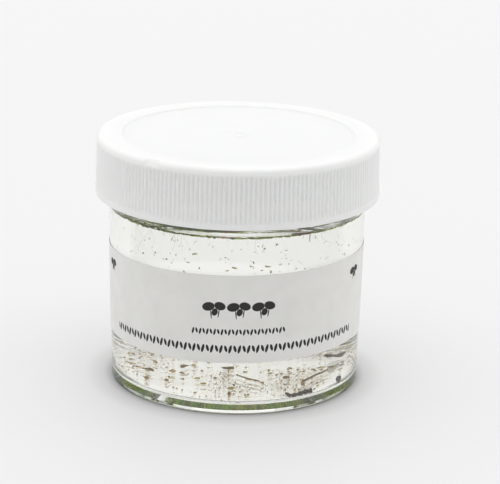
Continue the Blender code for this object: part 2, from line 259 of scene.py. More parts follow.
def add(tree, kind, sockets=None, stops=(), **settings):
    """One node, with its own settings and with what feeds its sockets.

    stops are (place, hex colour) pairs, for a node that has a colour ramp.
    """
    node = tree.nodes.new("ShaderNode" + kind)
    for name, value in settings.items():
        setattr(node, name, value)
    for name, value in (sockets or {}).items():
        plug(tree, node.inputs[name], value)
    if stops:
        elements = node.color_ramp.elements
        while len(elements) < len(stops):
            elements.new(0.5)
        for element, (place, code) in zip(elements, stops):
            element.position = place
            element.color = linear(code)
    return node


def dress(tree, **sockets):
    """Feeds the sockets of a finish's shader."""
    for name, value in sockets.items():
        plug(tree, tree.nodes["Principled BSDF"].inputs[name.replace("_", " ")], value)


def new_finish(name, **sockets):
    """A material, its node tree and its Object coordinates. Constant values are set on the shader."""
    finish = bpy.data.materials.new(name)
    finish.use_nodes = True
    dress(finish.node_tree, **sockets)
    return finish, finish.node_tree, add(finish.node_tree, "TexCoord").outputs["Object"]


def mottled(name, size, detail, stops, relief=None, **sockets):
    """A finish whose colour, and its relief (strength, depth in mm) if any, follow one noise."""
    finish, tree, place = new_finish(name, **sockets)
    cloud = add(tree, "TexNoise", {"Vector": place, "Scale": per_mm(size), "Detail": detail})
    dress(tree, Base_Color=add(tree, "ValToRGB", {"Fac": cloud}, stops))
    if relief:
        strength, depth = relief
        dress(tree, Normal=add(tree, "Bump", {"Height": cloud, "Strength": strength, "Distance": depth * MM}))
    return finish


# %% [markdown]
# ### Crystal polystyrene, injection-moulded
# The jar is clear, hard and glossy, with the high index of polystyrene, 1.59. Its faces carry
# faint flow waves from the mould and a few rubbed places, so the gloss isn't perfect. Waves of
# 7 mm bend the light a very little, and the rubbed places raise the roughness.

# %% Finish: crystal polystyrene
PLASTIC_INDEX = 1.59
polystyrene, tree, place = new_finish(
    "crystal_polystyrene", Base_Color=linear("#FEFEFD"), Transmission_Weight=1.0, IOR=PLASTIC_INDEX)
waves = add(tree, "TexNoise", {"Vector": place, "Scale": per_mm(7.0), "Detail": 1.0})
rubbed = add(tree, "TexNoise", {"Vector": place, "Scale": per_mm(2.5), "Detail": 6.0})
dress(tree, Normal=add(tree, "Bump", {"Height": waves, "Strength": 1.0, "Distance": 0.003 * MM}),
      Roughness=add(tree, "MapRange", {"Value": rubbed, "From Min": 0.5, "From Max": 0.8,
                                       "To Min": 0.01, "To Max": 0.05}))

# %% [markdown]
# ### Water
# Still water: clear, index 1.333, perfectly smooth, and hardly tinted.

# %% Finish: water
WATER_INDEX = 1.333
water_finish = new_finish("still_water", Base_Color=linear("#FEFEFC"), Transmission_Weight=1.0,
                          IOR=WATER_INDEX, Roughness=0.0)[0]

# %% [markdown]
# ### White polypropylene, injection-moulded
# The lid is satin and slightly see-through: light enters, spreads a millimetre or so and comes out
# again, which is why its ribs look soft. That is subsurface scattering. The mould's fine spark
# texture gives the satin.

# %% Finish: white polypropylene
polypropylene, tree, place = new_finish(
    "white_polypropylene", Base_Color=linear("#F3F4F2"), IOR=1.49, Subsurface_Weight=0.8,
    Subsurface_Radius=(1.0, 0.97, 0.93), Subsurface_Scale=1.6 * MM)
grain = add(tree, "TexNoise", {"Vector": place, "Scale": per_mm(0.25), "Detail": 3.0})
cloud = add(tree, "TexNoise", {"Vector": place, "Scale": per_mm(6.0), "Detail": 4.0})
dress(tree, Normal=add(tree, "Bump", {"Height": grain, "Strength": 0.35, "Distance": 0.03 * MM}),
      Roughness=add(tree, "MapRange", {"Value": cloud, "From Min": 0.3, "From Max": 0.7,
                                       "To Min": 0.36, "To Max": 0.48}))

# %% [markdown]
# ### Liner foam
# Foamed polyethylene, sliced to a disc: matte white, pitted with cut cells of about 0.35 mm. The
# pits' low middles are painted a little grey, as shade in the pits.

# %% Finish: liner foam
foam, tree, place = new_finish(
    "foamed_polyethylene", Roughness=0.85, Subsurface_Weight=0.7,
    Subsurface_Radius=(1.0, 0.98, 0.95), Subsurface_Scale=1.2 * MM)
# The colour follows the cells: each pit's low middle is painted greyer, as painted shade.
cells = add(tree, "TexVoronoi", {"Vector": place, "Scale": per_mm(0.35)})
dress(tree, Normal=add(tree, "Bump", {"Height": cells, "Strength": 0.6, "Distance": 0.08 * MM}),
      Base_Color=add(tree, "ValToRGB", {"Fac": cells}, ((0.0, "#D9D9D3"), (0.5, "#EDEDE9"))))

# %% [markdown]
# ## The jar
# A straight-sided moulded jar. It could be spun from a profile with the Screw modifier, but the
# neck's thread climbs as it goes round, so the wall is a grid of height by angle whose radius
# has the thread's ridge added. The slope under the base is kept as a sharp-edged flat cone,
# because it is the mirror in which the mat shows.

# %% Jar
THREAD_LOW = 39.4
ROOT_HALF = 0.75
CREST_HALF = 0.4
PANEL_HEIGHT = 1.22
SLOPE_DEG = 24.0
SLOPE_FOOT = (22.4, 0.46)
RING_INNER = 22.65
RIM_ROUND = 0.35
NECK_THREAD = (THREAD_LOW, 0.0, 1.05, 0.9)


def thread(angle_deg, height, low, start_deg, turns, size):
    """Height of a thread's ridge over its wall, at an angle and a height.

    The ridge's middle climbs one pitch a turn. Across it, the ridge rises from root to crest with
    a smooth step, and along it, it fades in and out over a tenth of a turn.
    """
    ridge = np.zeros(np.broadcast_shapes(np.shape(angle_deg), np.shape(height)))
    for lap in range(3):
        along = (angle_deg + 360.0 * lap - start_deg) / 360.0
        middle = low + PITCH * (along + start_deg / 360.0)
        across = 1.0 - smoothstep(CREST_HALF, ROOT_HALF, np.abs(height - middle))
        fade = smoothstep(0.0, 0.1, along) * smoothstep(0.0, 0.1, turns - along)
        ridge = np.maximum(ridge, size * across * fade)
    return ridge


def floor_corner(reach, start_deg, end_deg):
    """The round corner between the jar's floor and its inside, or a little further out."""
    height = FLOOR_TOP + FLOOR_FILLET
    return arc(inner(height) - FLOOR_FILLET, height, FLOOR_FILLET + reach, start_deg, end_deg, 10)


def make_jar():
    """The jar as one closed turned surface: underside, heel, wall and thread, rim, inside, floor."""
    slope_run = (PANEL_HEIGHT - SLOPE_FOOT[1]) / math.tan(math.radians(SLOPE_DEG))
    underside = [(0.9, PANEL_HEIGHT - 0.14), (1.05, PANEL_HEIGHT), (8.0, PANEL_HEIGHT),
                 (16.0, PANEL_HEIGHT), (SLOPE_FOOT[0] - slope_run, PANEL_HEIGHT), SLOPE_FOOT,
                 (RING_INNER, 0.0)]
    heel = arc(outer(HEEL) - HEEL, HEEL, HEEL, -90, 0, 8)
    wall_heights = np.concatenate((np.linspace(2.0, 38.0, 10), np.arange(38.4, JAR_HEIGHT - 0.8, 0.15)))
    wall = np.stack((outer(wall_heights), wall_heights), -1)
    rim_height = JAR_HEIGHT - RIM_ROUND
    rim = np.concatenate((arc(outer(rim_height) - RIM_ROUND, rim_height, RIM_ROUND, 0, 90, 6),
                          arc(inner(rim_height) + RIM_ROUND, rim_height, RIM_ROUND, 90, 180, 6)))
    inside_heights = np.linspace(JAR_HEIGHT - 1.0, FLOOR_TOP + FLOOR_FILLET + 0.2, 12)
    inside = np.stack((inner(inside_heights), inside_heights), -1)
    floor = [(12.0, FLOOR_TOP), (1.0, FLOOR_TOP)]
    profile = np.concatenate((underside, heel, wall, rim, inside, floor_corner(0.0, 0, -90), floor))
    first_wall = len(underside) + len(heel)
    on_wall = np.zeros((len(profile), 1))
    on_wall[first_wall:first_wall + len(wall)] = 1.0
    angle_deg = 360.0 * np.arange(ROUND_STEPS) / ROUND_STEPS
    ridge = thread(angle_deg, profile[:, 1:2], *NECK_THREAD)
    return turned(profile[:, :1] + ridge * on_wall, profile[:, 1], ROUND_STEPS)


make_piece("clear_jar", *make_jar(), [polystyrene], "clear_jar", ["jar"], sharp_deg=14.0)

# %% [markdown]
# ## The water
# Water wets the wall, so its surface climbs a little there. The rise falls off as an
# exponential, exp(-distance / 1.6 mm). The water's skin is set 0.05 mm into the plastic, so that
# no film of air is left between the two: the light then passes straight from one to the other.

# %% Water
MENISCUS_RISE = 0.35
MENISCUS_WIDTH = 1.6
CONTACT = 0.05


def water_top(radius):
    """Height of the water's surface at a distance from the axis."""
    from_wall = inner(WATER_LEVEL) - np.asarray(radius)
    return WATER_LEVEL + MENISCUS_RISE * np.exp(-from_wall / MENISCUS_WIDTH)


def make_water():
    """The water as one closed turned surface: floor, fillet, wall, climbing edge, level top."""
    heights = np.linspace(FLOOR_TOP + FLOOR_FILLET + 0.2, WATER_LEVEL - 1.0, 12)
    side = np.stack((inner(heights) + CONTACT, heights), -1)
    top_radius = inner(WATER_LEVEL) + CONTACT - np.linspace(0.0, 6.0, 19)
    top = np.stack((top_radius, water_top(top_radius)), -1)
    bottom = [(1.0, FLOOR_TOP - CONTACT), (12.0, FLOOR_TOP - CONTACT)]
    level = [(9.0, WATER_LEVEL), (1.0, WATER_LEVEL)]
    profile = np.concatenate((bottom, floor_corner(CONTACT, -90, 0), side, top, level))
    return turned(profile[:, 0], profile[:, 1], ROUND_STEPS)


make_piece("jar_water", *make_water(), [water_finish], "water", ["water"], sharp_deg=40.0)

# %% [markdown]
# ## The lid
# The lid is one moulding: a smooth flared band at its open edge, 192 fine ribs, a round
# shoulder, and a top with a slightly sunken middle. One grid gives all of it. Its radius is the
# smooth side less the groove between ribs, and the groove's depth fades out towards both bands.
# The shoulder has a small knock at the front left, and the middle of the top a gate mark.

# %% Lid
RIBS = 192
STEPS_PER_RIB = 5
RIB_DEPTH = 0.3
RIB_LOW = 38.5
RIB_HIGH = 47.75
SHOULDER = 1.15
SHOULDER_STEPS = 9
LID_INNER = 26.35
LID_PANEL = 1.2
RECESS_RADIUS = 22.6
RECESS = 0.25
KNOCK_DEG = -125.6
KNOCK_HALF_DEG = 4.3
KNOCK_DEPTH = 0.45
SKIRT_DROP = 0.17
LID_FLARE = 0.25
EDGE_ROUND = 0.35
LID_THREAD = (THREAD_LOW - 1.5, 68.0, 0.95, 0.85)


def lid_side(height):
    """The lid's smooth outside radius at a height: it flares a quarter of a millimetre to its edge."""
    return LID_RADIUS_LOW - LID_FLARE * (height - LID_LOW) / (LID_HIGH - LID_LOW)


def make_lid():
    """The lid as one closed turned surface: inside, edge, ribbed side, shoulder, top."""
    columns = RIBS * STEPS_PER_RIB
    angle_deg = 360.0 * np.arange(columns) / columns
    panel = LID_HIGH - LID_PANEL
    under = [(1.0, panel), (20.0, panel), (25.4, panel), (25.9, panel - 0.12), (26.2, panel - 0.35)]
    inside_heights = np.linspace(panel - 0.8, LID_LOW + 0.5, 34)
    inside = np.stack((np.full_like(inside_heights, LID_INNER), inside_heights), -1)
    lip = LID_LOW - SKIRT_DROP
    edge = [(LID_INNER + 0.25, lip + 0.08), (LID_INNER + 0.6, lip), (lid_side(lip) - 0.45, lip)]
    edge_round = arc(lid_side(lip) - EDGE_ROUND, lip + EDGE_ROUND, EDGE_ROUND, -70, 0, 4)
    side_heights = np.concatenate(([RIB_LOW - 0.4, RIB_LOW - 0.1], np.linspace(RIB_LOW, RIB_HIGH, 18)))
    side = np.stack((lid_side(side_heights), side_heights), -1)
    shoulder = arc(lid_side(LID_HIGH) - SHOULDER, LID_HIGH - SHOULDER, SHOULDER, 0, 90, SHOULDER_STEPS)
    sunken = LID_HIGH - RECESS
    top = [(24.6, LID_HIGH), (RECESS_RADIUS + 0.2, LID_HIGH), (RECESS_RADIUS + 0.04, LID_HIGH - 0.05),
           (RECESS_RADIUS - 0.04, sunken + 0.05), (RECESS_RADIUS - 0.2, sunken), (14.0, sunken),
           (6.0, sunken)]
    gate_mark = [(2.6, sunken), (2.3, sunken - 0.06), (2.0, sunken + 0.1), (1.6, sunken + 0.16),
                 (1.2, sunken + 0.14), (0.9, sunken - 0.08)]
    profile = np.concatenate((under, inside, edge, edge_round, side, shoulder, top, gate_mark))
    radius = np.repeat(profile[:, :1], columns, 1)
    height = np.repeat(profile[:, 1:], columns, 1)
    row = np.arange(len(profile))[:, None]
    first_side = len(under) + len(inside) + len(edge) + len(edge_round)
    first_shoulder = first_side + len(side)
    on_inside = (row >= len(under)) & (row < len(under) + len(inside))
    radius -= on_inside * thread(angle_deg, height, *LID_THREAD)
    phase = (np.arange(columns) % STEPS_PER_RIB) / STEPS_PER_RIB
    groove = 0.5 + 0.5 * np.cos(2.0 * np.pi * phase)
    reach = (smoothstep(RIB_LOW - 0.05, RIB_LOW + 0.6, height)
             * smoothstep(RIB_HIGH + 0.05, RIB_HIGH - 0.5, height))
    on_side = (row >= first_side) & (row < first_shoulder)
    radius -= on_side * reach * (0.05 + RIB_DEPTH * groove)
    away = np.abs(angle_deg - KNOCK_DEG % 360.0) / KNOCK_HALF_DEG
    on_shoulder = (row >= first_shoulder) & (row < first_shoulder + SHOULDER_STEPS)
    across = np.clip((row - first_shoulder) / (SHOULDER_STEPS - 1.0), 0.0, 1.0)
    radius -= on_shoulder * (1.0 - smoothstep(0.55, 1.0, away)) * KNOCK_DEPTH * np.sin(np.pi * across) ** 0.7
    return turned(radius, height, columns)


make_piece("ribbed_lid", *make_lid(), [polypropylene], "white_lid", ["lid"], body="lid", sharp_deg=50.0)

# %% [markdown]
# ## The liner
# The liner is a loose disc of foam that seals the rim. Its cut edge is a little uneven, and the rim
# has pressed a shallow ring into its underside.

# %% Liner
LINER_RADIUS = 25.75


def make_liner():
    """The liner as a closed turned surface whose edge wavers by a sum of two sines."""
    columns = 192
    angle = 2.0 * np.pi * np.arange(columns) / columns
    edge_radius = LINER_RADIUS + 0.04 * np.sin(7.0 * angle) + 0.03 * np.sin(19.0 * angle + 1.0)
    groove = inner(JAR_HEIGHT) + 0.5 * WALL
    flat = 0.0 * angle
    rings = [(1.0 + flat, 0.0), (15.0 + flat, 0.0), (groove - 1.0 + flat, 0.0), (groove - 0.6 + flat, 0.07),
             (groove + 0.4 + flat, 0.07), (edge_radius - 0.12, 0.02), (edge_radius, 0.15),
             (edge_radius, 0.85), (edge_radius - 0.12, 1.0), (groove - 1.0 + flat, 1.0), (15.0 + flat, 1.0),
             (1.0 + flat, 1.0)]
    share = np.array([share for _, share in rings])
    return turned(np.array([radius for radius, _ in rings]),
                  LINER_LOW + share * (LINER_HIGH - LINER_LOW), columns)


make_piece("foam_liner", *make_liner(), [foam], "liner_foam", ["lid_liner"], body="liner", sharp_deg=40.0)

# %% [markdown]
# ## The label
# A strip of white label paper, 0.1 mm thick, stuck on the front and a little askew. It is a grid of
# arc length by height laid on the jar's cone. Its own flat map, in millimetres from its middle, lets
# the printing be drawn as plain shapes: three sprigs of duckweed, two rows of small fronds below
# them, and a sprig at each side. A row is one drawing repeated: the place along the row is wrapped
# into one step of it. The back of the paper, seen from behind through the jar, isn't printed.

# %% Finish: label paper
INK = "#23221F"
OVAL_EDGE = 0.06
SIDE_MARKS = ((28.6, 5.2), (-31.0, 5.6))
paper, tree, place = new_finish(
    "printed_label_paper", Roughness=0.62, IOR=1.5, Subsurface_Weight=0.35,
    Subsurface_Radius=(1.0, 1.0, 0.95), Subsurface_Scale=0.25 * MM)
flat = add(tree, "UVMap", uv_map="flat").outputs["UV"]


def oval(spot, centre, size, turn_deg=0.0):
    """1 outside an oval of a flat map and 0 inside it, with a soft edge."""
    moved = add(tree, "VectorMath", {0: spot, 1: (*centre, 0.0)}, operation="SUBTRACT")
    straight = add(tree, "VectorRotate", {"Vector": moved, "Angle": -math.radians(turn_deg)},
                   rotation_type="Z_AXIS")
    scaled = add(tree, "VectorMath", {0: straight, 1: (size[0] / 2.0, size[1] / 2.0, 1.0)},
                 operation="DIVIDE")
    length = add(tree, "VectorMath", {0: scaled}, operation="LENGTH").outputs["Value"]
    return add(tree, "MapRange", {"Value": length, "From Min": 1.0 - OVAL_EDGE, "From Max": 1.0 + OVAL_EDGE})


def combine(operation, shapes):
    """The lowest or highest of several: MINIMUM adds shapes up, MAXIMUM keeps what they share."""
    result = shapes[0]
    for shape in shapes[1:]:
        result = add(tree, "Math", {0: result, 1: shape}, operation=operation)
    return result


def row(middle, length, step, drawing):
    """A drawing repeated every step along a row, on a map that is centred on each copy."""
    from_middle = add(tree, "VectorMath", {0: flat, 1: (*middle, 0.0)}, operation="SUBTRACT")
    parts = add(tree, "SeparateXYZ", {"Vector": from_middle}).outputs
    wrapped = add(tree, "Math", {0: parts["X"], 1: step / 2.0, 2: -step / 2.0}, operation="WRAP")
    spot = add(tree, "CombineXYZ", {"X": wrapped, "Y": parts["Y"]}).outputs[0]
    distance = add(tree, "Math", {0: parts["X"]}, operation="ABSOLUTE")
    past_end = add(tree, "Math", {0: distance, 1: length / 2.0}, operation="GREATER_THAN")
    return combine("MAXIMUM", [combine("MINIMUM", drawing(spot)), past_end])


def sprig(spot, size=1.0, middle=(0.0, 0.0)):
    """Three fronds and two roots."""
    ovals = (((-0.95, 0.35), (2.1, 1.5), 12.0), ((0.95, 0.5), (1.9, 1.4), -16.0),
             ((0.1, -0.55), (1.3, 1.0), 70.0), ((-0.5, -0.95), (0.2, 1.6), 6.0),
             ((0.75, -0.75), (0.2, 1.5), -8.0))
    return [oval(spot, (middle[0] + size * x, middle[1] + size * y), (size * wide, size * tall), turn_deg)
            for (x, y), (wide, tall), turn_deg in ovals]


def pair(spot, tall, wide):
    """Two slim fronds that lean on each other."""
    return [oval(spot, (-0.27 * tall, 0.0), (wide, tall), -14.0),
            oval(spot, (0.27 * tall, 0.1), (wide, 0.8 * tall), 16.0)]


unprinted = combine("MINIMUM", [
    row((0.9, 2.1), 14.1, 4.7, lambda spot: sprig(spot, 1.15)),
    row((0.9, -2.5), 18.2, 1.4, lambda spot: pair(spot, 1.3, 0.42)),
    row((-0.2, -5.9), 55.3, 1.75, lambda spot: pair(spot, 1.7, 0.55)),
    *[shape for mark in SIDE_MARKS for shape in sprig(flat, 0.9, mark)]])
back = add(tree, "Attribute", attribute_name="back").outputs["Fac"]
unprinted = combine("MAXIMUM", [unprinted, back])
fibres = add(tree, "TexNoise", {"Vector": place, "Scale": per_mm(0.3), "Detail": 5.0})
mottle = add(tree, "TexNoise", {"Vector": place, "Scale": per_mm(4.0), "Detail": 3.0})
sheet = add(tree, "ValToRGB", {"Fac": mottle}, ((0.3, "#EBEAE6"), (0.7, "#F1F0EC")))
printing = add(tree, "Mix", {"Factor": unprinted, "A": linear(INK), "B": sheet}, data_type="RGBA")
dress(tree, Base_Color=printing.outputs["Result"],
      Normal=add(tree, "Bump", {"Height": fibres, "Strength": 0.3, "Distance": 0.02 * MM}))

# %% Label
LABEL_BOTTOM = 10.53
LABEL_TOP = 27.9
LABEL_MIDDLE = 19.2
LABEL_HALF = math.radians(202.0) / 2.0
LABEL_TILT = math.tan(math.radians(0.8))
LABEL_LIFT = 0.02
PAPER = 0.1


def make_label():
    """The label as a closed thin grid of arc by height, with its flat map and its back's marks."""
    across, up = 180, 14
    angle = np.linspace(-LABEL_HALF, LABEL_HALF, across)
    level = np.linspace(LABEL_BOTTOM, LABEL_TOP, up)
    round_end = 0.35 * LABEL_HALF / across
    height = np.concatenate((level, level[::-1]))[:, None] + 0.0 * angle
    lift = np.repeat([LABEL_LIFT, LABEL_LIFT + PAPER], up)[:, None]
    ripple = 0.012 * np.sin(9.0 * angle + 1.3) * np.sin(0.35 * height + 0.7) + 0.01 * np.sin(23.0 * angle)
    tipped = height + outer(height) * np.cos(angle - math.pi / 2.0) * LABEL_TILT
    end_lift = 0.12 * smoothstep(LABEL_HALF - 0.05, LABEL_HALF, np.abs(angle))
    radius = outer(tipped) + lift + np.maximum(ripple, 0.0) + end_lift
    turn = angle * (1.0 - round_end) - math.pi / 2.0
    rings = np.dstack((polar(radius, turn), tipped)).transpose(1, 0, 2)
    flat_map = np.dstack((angle * outer(LABEL_MIDDLE) + 0.0 * height, height - LABEL_MIDDLE))
    flat_map = flat_map.transpose(1, 0, 2).reshape(-1, 2)
    back = np.append(np.tile(np.repeat([1.0, 0.0], up), across), [1.0, 1.0])
    return capped(rings), np.concatenate((flat_map, flat_map[:1], flat_map[-1:])), back


label_shape, label_map, label_back = make_label()
make_piece("paper_label", *label_shape, [paper], "label_paper", ["label"], sharp_deg=60.0,
           values={"back": label_back}, flat_map=label_map)

# %% [markdown]
# ## Duckweed fronds
# A duckweed plant has no stem or leaves: it is a few flat oval fronds, each with one thin
# root that hangs from its underside. The top is low and domed with a faint keel, and the underside
# is swollen with air, which keeps it afloat. Fronds could be scaled copies of one mesh, but then all
# would match, so all are worked out at once as arrays, each with its own length, width and bend.
# The underside is wet: light crosses there from water to frond, so its index is near 1. Its green is
# paler and brighter than the top's: painted light, standing in for light that comes through the fronds
# from below. Seedlings and roots are thin and wet all round, so they are see-through, with an index near
# 1 as well.

# %% Finish: living fronds and roots
frond_green, tree, place = new_finish(
    "living_frond", Roughness=0.42, Subsurface_Weight=0.8, Subsurface_Radius=(0.7, 1.0, 0.25),
    Subsurface_Scale=1.0 * MM)
under = add(tree, "Attribute", attribute_name="under").outputs["Fac"]
tone = add(tree, "Attribute", attribute_name="tone").outputs["Fac"]
blotch = add(tree, "TexNoise", {"Vector": place, "Scale": per_mm(1.1), "Detail": 3.0})
mixed = add(tree, "Math", {0: blotch, 1: 0.35, 2: tone}, operation="MULTIPLY_ADD")
shifted = add(tree, "Math", {0: mixed, 1: 0.175}, operation="SUBTRACT")
top_green = add(tree, "ValToRGB", {"Fac": shifted}, (
    (0.0, "#7F9634"), (0.2, "#9DB740"), (0.5, "#B7CE50"), (0.8, "#CBD768"), (1.0, "#A8743F")))
# The underside's ramp is brighter than the top's: painted light from below.
painted_lit_underside_green = add(tree, "ValToRGB", {"Fac": shifted}, (
    (0.0, "#84AC2C"), (0.2, "#A4D032"), (0.5, "#BAE43C"), (0.85, "#D4EA5E"), (1.0, "#B8824A")))
both = add(tree, "Mix", {"Factor": under, "A": top_green, "B": painted_lit_underside_green}, data_type="RGBA")
air_cells = add(tree, "TexVoronoi", {"Vector": place, "Scale": per_mm(0.22)})
dress(tree, Base_Color=both.outputs["Result"],
      IOR=add(tree, "MapRange", {"Value": under, "To Min": 1.42, "To Max": 1.07}),
      Normal=add(tree, "Bump", {"Height": air_cells, "Strength": 0.4, "Distance": 0.02 * MM}))

seedling_green, tree, place = new_finish(
    "translucent_young_frond", Roughness=0.4, IOR=1.03, Transmission_Weight=0.75, Subsurface_Weight=0.5,
    Subsurface_Radius=(0.7, 1.0, 0.25), Subsurface_Scale=0.6 * MM)
tone = add(tree, "Attribute", attribute_name="tone").outputs["Fac"]
dress(tree, Base_Color=add(tree, "ValToRGB", {"Fac": tone}, (
    (0.0, "#93A532"), (0.3, "#AFC24A"), (0.7, "#CFDD80"), (1.0, "#CB9858"))))

root_thread = mottled("root_thread", 1.5, 2.0, ((0.3, "#E4E8CF"), (0.7, "#F3F4E8")),
                      Roughness=0.3, IOR=1.02, Transmission_Weight=0.93)

# %% Many closed pads and threads at once
ROOT_SIDES = 4
ROOT_STEPS = 9


def pads(frames, outline, top, bottom, rings):
    """Many closed flat bodies at once, each a pad with a domed top and underside.

    frames is (count, 4, 3): middle, along, across and up vectors. outline is (count, spokes), the
    reach in mm. top and bottom are functions of (share of reach, x, y) that give heights, and rings
    are the shares of the reach at which rings of points lie.
    """
    count, spokes = outline.shape[:2]
    levels = [(share, 1) for share in rings] + [(1.0, 0)] + [(share, -1) for share in rings[::-1]]
    share, side = (np.array(column)[None, :, None] for column in zip(*levels))
    x = share * outline[:, None, :, 0]
    y = share * outline[:, None, :, 1]
    share = share + 0.0 * x
    high, low = top(share, x, y), bottom(share, x, y)
    z = np.where(side > 0, high, np.where(side < 0, low, 0.5 * (high + low)))
    middle = np.zeros((count, 1, 1))
    poles = np.zeros((count, 2, 3))
    for pole, dome in enumerate((top, bottom)):
        poles[:, pole, 2] = dome(middle, middle, middle)[:, 0, 0]
    local = np.concatenate((np.stack((x, y, z), -1).reshape(count, -1, 3), poles), 1)
    points = frames[:, None, 0] + np.einsum("npk,nkj->npj", local, frames[:, 1:])
    per_pad = local.shape[1]
    number = np.arange(len(levels) * spokes)
    parts = (quads(len(levels), spokes)[:, ::-1], fan(len(number), number[:spokes], False),
             fan(len(number) + 1, number[-spokes:], True))
    marks = np.append(np.repeat([1.0 if s < 0 else 0.0 for _, s in levels], spokes), [0.0, 1.0])
    return points.reshape(-1, 3), repeated(parts, count, per_pad), {"under": np.tile(marks, count)}, per_pad


def repeated(parts, count, step):
    """Face arrays of one body, repeated for count bodies with step points each."""
    start = (np.arange(count) * step)[:, None, None]
    return [(part[None] + start).reshape(-1, part.shape[1]) for part in parts]


def frond_pads(centres, headings, lengths, tilts, rng, spokes=12, rings=(0.55, 0.9)):
    """Duckweed fronds floating at given places.

    The outline is an oval, egg-shaped towards the tip: x = cos a, y = w sin a (1 + 0.14 cos a). The top
    dome falls off as (1 - t^2)^0.7 with a keel along x, and the underside is fuller.
    """
    count = len(lengths)
    half = lengths[:, None] / 2.0
    spoke = 2.0 * np.pi * np.arange(spokes) / spokes
    width = rng.uniform(0.66, 0.8, (count, 1))
    lopsided = rng.uniform(-0.07, 0.07, (count, 1))
    wobble = 1.0 + 0.02 * np.sin(3.0 * spoke + rng.uniform(0, FULL_TURN, (count, 1)))
    x = half * np.cos(spoke) * wobble
    y = (half * width * np.sin(spoke) * (1.0 + 0.14 * np.cos(spoke)) * wobble
         + lopsided * half * np.cos(spoke) ** 2)
    bend = rng.uniform(-0.05, 0.07, (count, 1, 1))
    size = half[:, :, None]

    def top(share, px, py):
        keel = 0.035 * size * np.exp(-(py / (0.16 * size)) ** 2) * (1.0 - share ** 2)
        return (0.06 * size + 0.13 * size * (1.0 - share ** 2) ** 0.7 + keel
                + bend * (px ** 2 + py ** 2) / size)

    def bottom(share, px, py):
        return -0.02 * size - 0.15 * size * (1.0 - share ** 2) ** 0.8 + bend * (px ** 2 + py ** 2) / size

    along = unit(heading(headings, np.sin(tilts)))
    across = sideways(headings, rng.normal(0.0, 0.05, count))
    across = unit(across - along * np.einsum("ij,ij->i", across, along)[:, None])
    frames = np.stack((centres, along, across, np.cross(along, across)), 1)
    return pads(frames, np.stack((x, y), -1), top, bottom, rings)


def grains(frames, lengths, widths, heights, rng, spokes=7):
    """Tiny closed pads with an uneven outline, domed as 0.5 - s^2 / 4. The smallest have no ring."""
    spread = rng.uniform(-0.2, 0.2, (len(lengths), spokes))
    spoke = 2.0 * np.pi * (np.arange(spokes) + spread) / spokes
    phase = rng.uniform(0.0, FULL_TURN, (2, len(lengths), 1))
    uneven = (rng.uniform(0.62, 1.0, spoke.shape) + 0.16 * np.sin(2.0 * spoke + phase[0])
              + 0.1 * np.sin(3.0 * spoke + phase[1]))
    outline = np.stack((0.5 * lengths[:, None] * uneven * np.cos(spoke),
                        0.5 * widths[:, None] * uneven * np.sin(spoke)), -1)
    size = heights[:, None, None]
    points, faces, _, per_pad = pads(
        frames, outline, lambda share, x, y: size * (0.5 - 0.25 * share ** 2),
        lambda share, x, y: -size * (0.5 - 0.25 * share ** 2), (0.62,) if spokes > 4 else ())
    return points, faces, {}, per_pad


def roots(starts, lengths, radii, lean, rng):
    """Thin hanging threads, all at once.

    Each falls straight down and sways sideways by a slow sine that grows with depth. Its radius tapers
    to 0.7 of itself and swells at the tip, which is the root's cap.
    """
    count = len(lengths)
    share = np.linspace(0.0, 1.0, ROOT_STEPS)[None, :]
    turns = rng.uniform(0.5, 1.4, (count, 1))
    phase = rng.uniform(0.0, FULL_TURN, (count, 2))
    sway = lengths[:, None] * lean[:, None] * share ** 1.3
    x = starts[:, :1] + sway * np.cos(phase[:, :1] + turns * share * 3.0)
    y = starts[:, 1:2] + sway * np.sin(phase[:, 1:] + turns * share * 3.0)
    z = starts[:, 2:] - lengths[:, None] * share * np.sqrt(np.clip(1.0 - lean[:, None] ** 2, 0.1, 1.0))
    centre = np.stack((x, y, z), -1)
    radius = radii[:, None] * (1.0 - 0.3 * share + 0.5 * smoothstep(0.86, 0.93, share))
    ring = heading(2.0 * np.pi * np.arange(ROOT_SIDES) / ROOT_SIDES)
    rings = centre[:, :, None] + radius[:, :, None, None] * ring
    points = np.concatenate((rings.reshape(count, -1, 3), centre[:, [0, -1]]), 1)
    number = np.arange(ROOT_STEPS * ROOT_SIDES)
    parts = (quads(ROOT_STEPS, ROOT_SIDES)[:, ::-1], fan(len(number), number[:ROOT_SIDES], False),
             fan(len(number) + 1, number[-ROOT_SIDES:], True))
    return points.reshape(-1, 3), repeated(parts, count, points.shape[1])


# %% [markdown]
# ## The mat
# The plants sit where the solids hold them: on a sunflower spiral, which fills a disc evenly, with a
# clear margin along the front and a bare patch at the back left. Each plant is its own piece with its
# roots. The same seeded draws as the solids' give each plant its fronds, so that every frond lies
# over its solid. A frond that would cross the shore, where the clear water begins, is cut short.

# %% Where the plants are
PLANT_PLACES = 46
SPIRAL_RADIUS = 21.4
GOLDEN_ANGLE = math.pi * (3.0 - math.sqrt(5.0))
PLANT_NUDGE = 0.4
PLANT_INSET = 1.4
FROND_LENGTH = 3.5
SHORTEST_FROND = 1.4
MAT_CLEARANCE = 0.4
FRONT_MARGIN = 4.6
MARGIN_CENTRE = math.radians(-72.0)
MARGIN_HALF = math.radians(62.0)
SHORE_INSET = 0.35
SHORE_MARGINS = ((-128.0, 40.0, 18.0, 2.9), (135.5, 6.0, 3.5, 3.2))
BARE_PATCHES = (((-16.7, 7.5), 3.6), ((-15.8, 15.0), 2.0))
WALL_RADIUS = inner(WATER_LEVEL)


def turned_from(angle, centre):
    """How far angles lie from a centre, either way round, in radians."""
    return np.abs((angle - centre + np.pi) % (2.0 * np.pi) - np.pi)


def mat_reach(angle):
    """How far the mat reaches from the axis: the inside, less a cosine-shaped clear margin in front."""
    opening = np.cos(0.5 * np.pi * np.minimum(1.0, turned_from(angle, MARGIN_CENTRE) / MARGIN_HALF))
    return WALL_RADIUS - MAT_CLEARANCE - FRONT_MARGIN * opening


